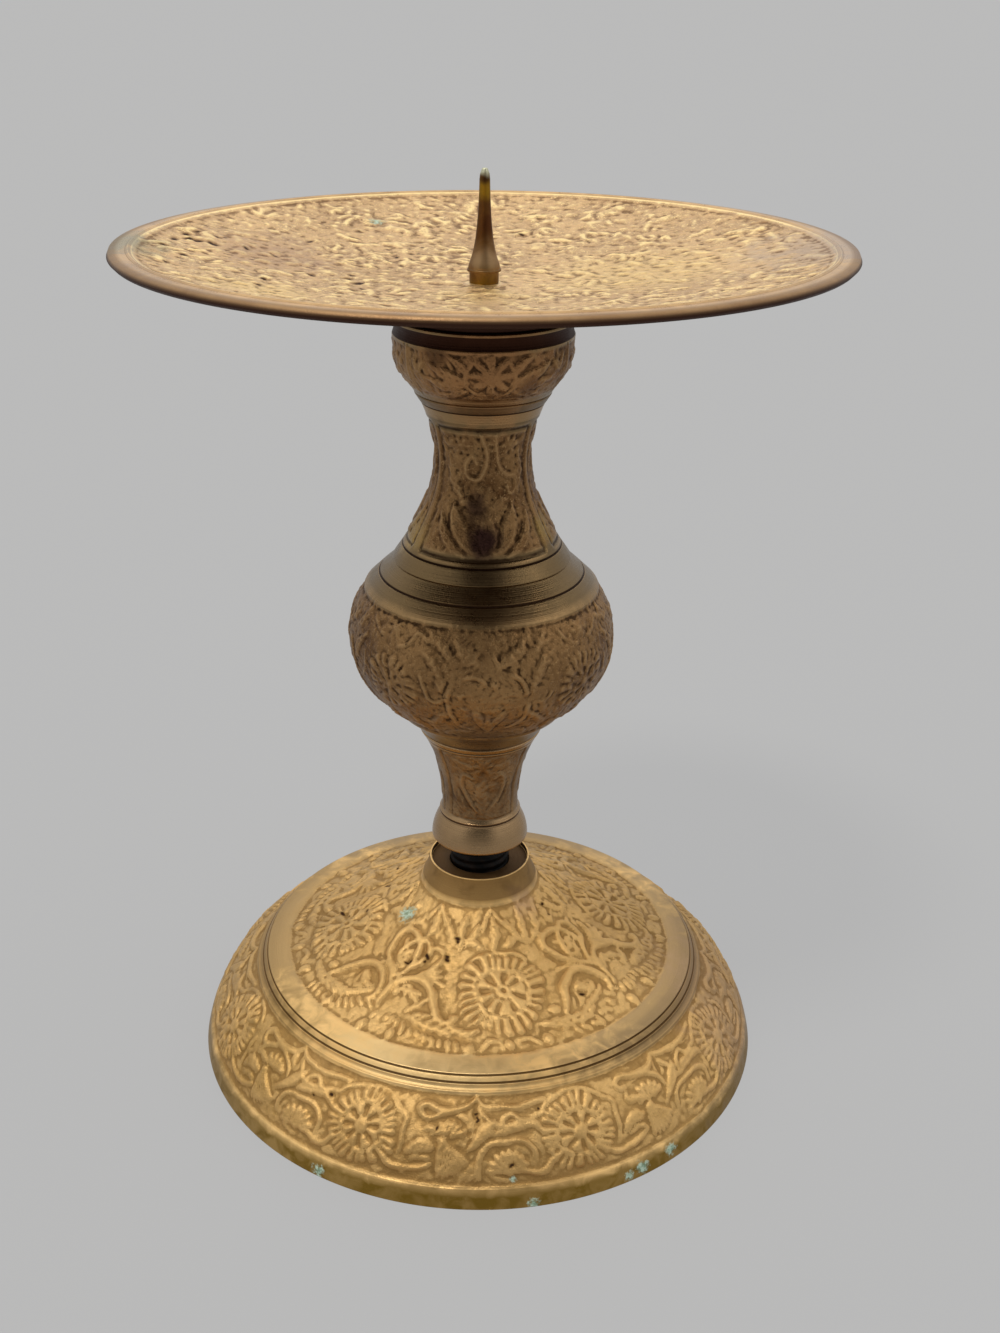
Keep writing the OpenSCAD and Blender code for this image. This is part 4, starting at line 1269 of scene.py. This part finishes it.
def pale_floor(name):
    """Plain pale matt floor."""
    material, shader, where = new_material(name)
    tone = remap(noise(where, 6, 2), 0.3, 0.7)
    link(mixed(tone, FLOOR_TONE, tuple(c * 1.01 for c in FLOOR_TONE)), shader["Base Color"])
    for label, value in (("Roughness", 0.9), ("Specular IOR Level", 0.0), ("Emission Color", (1, 1, 1, 1)),
                         ("Emission Strength", FLOOR_GLOW)):
        shader[label].default_value = value
    return material


FLOOR_TONE, FLOOR_GLOW = (0.08, 0.08, 0.08), 0.404
FLOOR_HALF = 60.0


def stage():
    """The camera of the photograph, a pale floor and soft light."""
    scene = bpy.context.scene
    scene.view_settings.view_transform = "Standard"
    camera = bpy.data.objects.new("camera", bpy.data.cameras.new("camera"))
    scene.collection.objects.link(camera)
    camera.data.sensor_width = SENSOR
    camera.data.lens = FOCAL_PX * SENSOR / PHOTO_H
    camera.data.shift_x = (PHOTO_W / 2 - AXIS_X) / PHOTO_H
    camera.location = (0, -CAMERA_BACK, CAMERA_UP)
    down, roll = math.radians(90 - CAMERA_DOWN_DEG), math.radians(CAMERA_ROLL_DEG)
    camera.rotation_euler = (Matrix.Rotation(down, 3, "X") @ Matrix.Rotation(roll, 3, "Z")).to_euler()
    camera.data.clip_start, camera.data.clip_end = 0.01, 200
    scene.camera = camera
    mesh = bpy.data.meshes.new("floor")
    corners = [(-1, -1, 0), (1, -1, 0), (1, 1, 0), (-1, 1, 0)]
    mesh.from_pydata([[FLOOR_HALF * c for c in corner] for corner in corners], [], [(0, 1, 2, 3)])
    mesh.materials.append(pale_floor("pale_floor"))
    floor = bpy.data.objects.new("floor", mesh)
    scene.collection.objects.link(floor)
    studio_light(scene)
    for name, toward, spread, power, tint in LAMPS:
        lamp(name, Vector(toward), spread, power, tint)


# Light round the candlestick, and patches in it as (direction, from and to cosine, factor)
SKY_TINT = (1.0, 1.0, 1.0)
SKY_LOW, SKY_HIGH = 0.55, 0.87
PATCHES = [
    ((0, -0.62, 0.78), 0.84, 0.97, 0.32),
    ((0, -0.97, 0.24), 0.72, 0.93, 0.3),
    ((0, 1, 0.12), 0.3, 0.9, 1.15),
]
# Lamps: name, direction, spread in degrees, power and tint
LAMPS = [
    ("lamp_key", (-0.3, -0.4, 1.0), 12, 1.35, (1, 0.97, 0.92)),
    ("lamp_side", (0.8, -0.1, 0.7), 30, 0.12, (1, 0.95, 0.93)),
    ("lamp_back", (0, 0.8, 0.7), 40, 0.12, (1, 0.96, 0.88)),
]


def studio_light(scene):
    """Even soft light from all round, stronger from above, with broad softer and brighter patches in it."""
    world = bpy.data.worlds.new("studio")
    scene.world = world
    world.use_nodes = True
    tree = world.node_tree
    ray = node(tree, "ShaderNodeTexCoord").outputs["Generated"]
    light = remap(axes(ray)[2], 0, 0.9, SKY_LOW, SKY_HIGH, smooth=True)
    for toward, low, high, factor in PATCHES:
        along = node(tree, "ShaderNodeVectorMath", operation="DOT_PRODUCT")
        link(ray, along.inputs[0])
        along.inputs[1].default_value = Vector(toward).normalized()
        light = times(light, remap(along.outputs["Value"], low, high, 1, factor, smooth=True))
    back = tree.nodes["Background"].inputs
    back["Color"].default_value = (*SKY_TINT, 1)
    link(light, back["Strength"])


def lamp(name, toward, spread, power, tint):
    """A far soft lamp that shines from a direction."""
    data = bpy.data.lights.new(name, "SUN")
    data.angle, data.energy, data.color = math.radians(spread), power, tint
    made = bpy.data.objects.new(name, data)
    made.rotation_euler = toward.to_track_quat("Z", "Y").to_euler()
    bpy.context.scene.collection.objects.link(made)


BRIGHT, WARM = (0.76, 0.49, 0.19), (0.60, 0.36, 0.12)
FOOT_PLAIN = (1.0, 0.65, 0.26)
PALE, TAN = (0.72, 0.47, 0.23), (0.52, 0.32, 0.15)
OLIVE, BROWN = (0.34, 0.195, 0.08), (0.14, 0.068, 0.026)
OLIVE_GREY, BROWN_GREY = (0.34, 0.215, 0.105), (0.145, 0.08, 0.037)
RING_OLIVE, BELL_TAN, BAND_GOLD = (0.195, 0.133, 0.063), (0.43, 0.28, 0.145), (0.50, 0.31, 0.14)
# Polish of the pan's ridges: wear, and partly a painted highlight
PAN_POLISH_AND_HIGHLIGHT = (1.0, 0.76, 0.36)
SPIKE_BRIGHT, SPIKE_DARK = (0.15, 0.075, 0.022), (0.09, 0.036, 0.014)
SPIKE_TAN, SPIKE_RING, SPIKE_TIP = (0.36, 0.235, 0.12), (0.05, 0.022, 0.012), (0.62, 0.62, 0.44)
SPIKE_GOLD = (0.34, 0.21, 0.02)
# Dirt of the pan, which also paints the shade under it
PAN_DIRT_AND_SHADE = (0.13, 0.06, 0.026)
# Gold of the painted highlights on the pan, and a pink tint
PAN_PAINTED_HIGHLIGHT, PAN_PINK = (0.85, 0.60, 0.25), (0.44, 0.26, 0.15)
# Dirt colours, which also paint shade where the soil marks ask
DIRT_AND_SHADE, RUST_DIRT_AND_SHADE = (0.035, 0.016, 0.008), (0.18, 0.088, 0.012)
GREEN_FOOT = [((10.4, -56.7, 0.8), 2.2), ((28.5, -50, 1.2), 2.0), ((31, -48.3, 1.8), 2.4),
              ((37, -44, 2.2), 2.4), ((-29.8, -49.2, 1.2), 2.2), ((6.7, -55.4, 5.0), 1.2),
              ((-14.7, -9.1, 31.6), 3.6)]
GREEN_PAN = [((-21, 41, 159.3), 3.4)]
# Soot, which also paints the darkest shade and reflections
SOOT_AND_SHADE = (0.034, 0.011, 0.007)
# Brown of the painted dark reflection on the front of the rings
RING_PAINTED_REFLECTION = (0.075, 0.042, 0.02)
# Dull brown of the painted shade on the sides and back of the foot
PAINTED_SIDE_SHADE = (0.34, 0.22, 0.095)
GREY_OLIVE, PINK_BROWN = (0.34, 0.29, 0.16), (0.50, 0.31, 0.20)
BAND_BROWN = (0.36, 0.20, 0.06)
# Stains and patches of painted light and shade: place, reach, colour and share
# Foot: the dull spots at left, right and back are painted shade; the others are tints and stains
FOOT_STAINS_AND_PAINTED_SHADE = [((10, -10, 36), 5, PINK_BROWN, 0.5), ((55, -10, 12), 26, PINK_BROWN, 0.45),
               ((-45, 2, 20), 34, PAINTED_SIDE_SHADE, 0.5), ((45, 2, 20), 34, PAINTED_SIDE_SHADE, 0.45),
               ((0, 46, 20), 44, PAINTED_SIDE_SHADE, 0.8), ((-44, -30, 14), 16, STAIN, 0.25),
               ((0, -62, 0), 38, BAND_BROWN, 0.42)]
# Shoulder ring: painted shade darkens its left, right and back, and a painted highlight brightens its front
SHOULDER_PAINTED_LIGHT = [((-44, 6, 20.4), 50, (0.34, 0.21, 0.07), 0.85),
                   ((40, -14, 20.4), 48, (0.22, 0.15, 0.075), 0.92),
                   ((14, 44, 20.4), 50, (0.36, 0.25, 0.12), 0.65),
                   ((-8, -41, 20.4), 22, (1.0, 0.72, 0.34), 0.9)]
# Stem: the soot-dark spot on the front of the knop's top band is a painted dark reflection
STEM_STAINS_AND_PAINTED_LIGHT = [((0, -25, 90), 24, (0.42, 0.245, 0.10), 0.35), ((0.5, -16, 148.7), 9.5, SOOT_AND_SHADE, 0.98),
               # The grey spot under the bulb is painted shade against the gold light thrown up by the foot
               ((0, -15, 73.5), 15, (0.24, 0.18, 0.13), 0.85),
               ((0, -15, 142), 15, (0.46, 0.235, 0.095), 0.65),
               ((0.5, -12.6, 112.5), 4.6, (0.05, 0.022, 0.02), 0.95),
               ((-1.0, -10.6, 118.5), 3.6, (0.06, 0.03, 0.02), 0.9), ((-8.5, -8.2, 132.5), 2.4, SOOT_AND_SHADE, 0.9),
               ((7.5, -12.5, 141), 3, SOOT_AND_SHADE, 0.5), ((-8, -14, 146.5), 3, SOOT_AND_SHADE, 0.6),
               # The brown spots on the front of the rings are a painted dark reflection
               ((0.5, -15.6, 108), 5.5, RING_PAINTED_REFLECTION, 0.45), ((0.5, -19.5, 103), 6.5, RING_PAINTED_REFLECTION, 0.3),
               # The lighter spots at the left and right of the neck are painted highlights
               ((-13.5, -5, 112), 6, (0.42, 0.28, 0.10), 0.7), ((13, -6, 114), 5, (0.40, 0.27, 0.09), 0.6)]
# Pan: the gold spots are painted highlights; the others are rust and colour tints
PAN_STAINS_AND_PAINTED_LIGHT = [((-30, -38, 160.5), 3.5, RUST_DIRT_AND_SHADE, 0.6), ((-38, 10, 160), 17, PAN_PINK, 0.55),
              ((-36, -24, 160), 13, PAN_PAINTED_HIGHLIGHT, 0.6), ((27, 4, 158), 22, PAN_PAINTED_HIGHLIGHT, 0.5),
              ((0, -12, 157), 12, PAN_PAINTED_HIGHLIGHT, 0.4), ((-67, -6, 163.5), 17, GREY_OLIVE, 0.85),
              ((63, 0, 163), 24, (0.50, 0.37, 0.27), 0.65)]
SPIKE_STAINS = [((0, 0, 159.5), 4.6, SPIKE_TAN, 0.95), ((0, 0, 155), 5, (0.2, 0.12, 0.015), 0.9),
                ((0, 0, 171.6), 2.8, SPIKE_GOLD, 0.85), ((0, -0.5, 173.3), 1.2, SPIKE_RING, 0.9),
                ((0, 0, 175.1), 2.0, SPIKE_TIP, 0.95)]
# Dirt, polish and painted shade on turned faces: least and greatest radius, least and greatest height, and
# how much
# Skirt: the cove over the band is darkened as painted shade
SKIRT_PAINTED_SHADE = [(43, 46.6, 16.9, 19.85, 0.2)]
# Dome: the collar is darker; its recess, its bore and the hollow under it are painted shade
DOME_DIRT_AND_SHADE = [(10.15, 11.98, 35.9, 40.3, 0.68), (0, 9.83, 39.45, 40.35, 0.85), (0, 9.83, 24, 39.42, 0.85),
              (0, 10.6, 24, 34, 0.6)]
# Pan: the outer face of its rim is darkened as painted shade
PAN_PAINTED_SHADE = [(62.2, 64, 161, 165, 0.55)]
# Knop: its top band is painted dark as a reflection, and its top face under the pan as a painted shadow
KNOP_PAINTED_SHADE = [(15, 16.3, 147.5, 149.9, 0.9), (0, 15.9, 150.45, 150.55, 0.8)]
NECK_SOILS = [(10, 13, 133.4, 135.25, -0.4), (11.5, 12.5, 135.6, 137.1, 0.25)]


# Steps of the ornamented meshes in mm, and the painted shade under the pan
FOOT_STEP, PAN_STEP, THREAD_STEP = 0.29, 0.39, 0.2
PAN_UNDER_SHADE = 0.95


def dress_foot():
    """The foot: its skirt up to the turned lines, and the dome and collar inside them."""
    parts, _ = stretches("foot")
    edge = nearest_corner(parts, (44.05, 19.9))
    inner = nearest_corner(parts, (42.84, 17.6))
    wall = np.array([parts[edge][0], parts[inner][0]])
    skirt = parts[:edge] + [wall] + parts[inner:]
    dome = parts[edge:inner] + [wall[::-1]]
    skin = aged_brass("foot_brass_aged", BRIGHT, WARM, RUST_DIRT_AND_SHADE, soot=0.66, gloss=0.4, grain=4.0,
                      painted_glints=0.5, metal_share=0.75, green=GREEN_FOOT, edge=3.0, pits=0.3, plain=FOOT_PLAIN,
                      shine=0.2, stains_and_painted_light=FOOT_STAINS_AND_PAINTED_SHADE, plain_painted_light=SHOULDER_PAINTED_LIGHT)
    spun("foot_skirt", skirt, True, [zone(skirt, band_relief, (56.75, 3.4), (46.05, 17.5), FOOT_STEP)],
         "foot", skin, "foot", dirt_and_shade_bands=SKIRT_PAINTED_SHADE, seams={edge})
    spun("foot_dome", dome, True, [zone(dome, dome_relief, (39.85, 20.75), (12, 35.7), FOOT_STEP)],
         "foot", skin, "foot", dirt_and_shade_bands=DOME_DIRT_AND_SHADE, seams={len(dome) - 1})


def nearest_corner(parts, spot):
    """Index of the stretch that starts nearest to a place (radius, height)."""
    return min(range(len(parts)), key=lambda k: np.hypot(*(parts[k][0] - spot)))


# The knop's top stays this low, in mm, so that the pan turns clear of it
KNOP_TOP = 150.47
# Pieces of the stem: CAD node, drawing function, where its zone starts and stops, and its step
STEM_PIECES = [("lower_stem", lower_relief, (8.1, 51.75), (11.15, 68.75), 0.2),
               ("bulb", bulb_relief, (15.85, 74.6), (21.9, 100.4), 0.25),
               ("neck", neck_relief, (14.6, 108.8), (11.1, 135.0), 0.2),
               ("knop", knop_relief, (12.5, 137.42), (16.2, 147.4), 0.2)]


def dress_stem():
    """The lower stem, the bulb, the neck and the knop."""
    skin = aged_brass("stem_brass_aged", OLIVE, BROWN, DIRT_AND_SHADE, soot=0.92, grain=5.5, painted_glints=0.7, pits=0.75,
                      plain=RING_OLIVE, polish_and_highlight=BAND_GOLD, stains_and_painted_light=STEM_STAINS_AND_PAINTED_LIGHT)
    base_skin = aged_brass("stem_base_aged", OLIVE_GREY, BROWN_GREY, DIRT_AND_SHADE, soot=0.6, gloss=0.28, grain=4.5,
                           painted_glints=0.3, plain=BELL_TAN)
    dirt_and_shade_bands = {"knop": KNOP_PAINTED_SHADE, "neck": NECK_SOILS}
    for name, draw, start, stop, step in STEM_PIECES:
        parts, closed = stretches(name)
        for line in parts if name == "knop" else ():
            line[:, 1] = np.minimum(line[:, 1], KNOP_TOP)
        spun(name + "_cast", parts, closed, [zone(parts, draw, start, stop, step)], "stem",
             base_skin if name == "lower_stem" else skin, name, dirt_and_shade_bands=dirt_and_shade_bands.get(name, ()))


def dress_pan():
    """The drip pan with its foliage."""
    parts, closed = stretches("drip_pan")
    skin = aged_brass("pan_brass_aged", PALE, TAN, PAN_DIRT_AND_SHADE, soot=0.8, metal_share=0.85, green=GREEN_PAN,
                      stains_and_painted_light=PAN_STAINS_AND_PAINTED_LIGHT, polish_and_highlight=PAN_POLISH_AND_HIGHLIGHT, shine=1.0, grain=5.5, painted_glints=1.0)
    floor = zone(parts, pan_relief, (59.6, 163.2), (2.6, 156.0), PAN_STEP)
    spun("pan_cast", parts, closed, [floor], "pan", skin, "drip_pan", dirt_and_shade_bands=PAN_PAINTED_SHADE,
         under=PAN_UNDER_SHADE)


def dress_small():
    """The pricket and the threaded stud."""
    parts, closed = stretches("pricket")
    skin = aged_brass("spike_brass_aged", SPIKE_BRIGHT, SPIKE_DARK, DIRT_AND_SHADE, gloss=0.42, stains_and_painted_light=SPIKE_STAINS)
    spun("pricket_turned", parts, closed, [], "spike", skin, "pricket")
    parts, closed = stretches("foot_stud")
    spun("stud_threaded", parts, closed, [zone(parts, thread_relief, (6, 28.2), (6, 51.65), THREAD_STEP)],
         "stud", blackened_steel("stud_steel_black"), "foot_stud")


dress_foot()
dress_stem()
dress_pan()
dress_small()
stage()
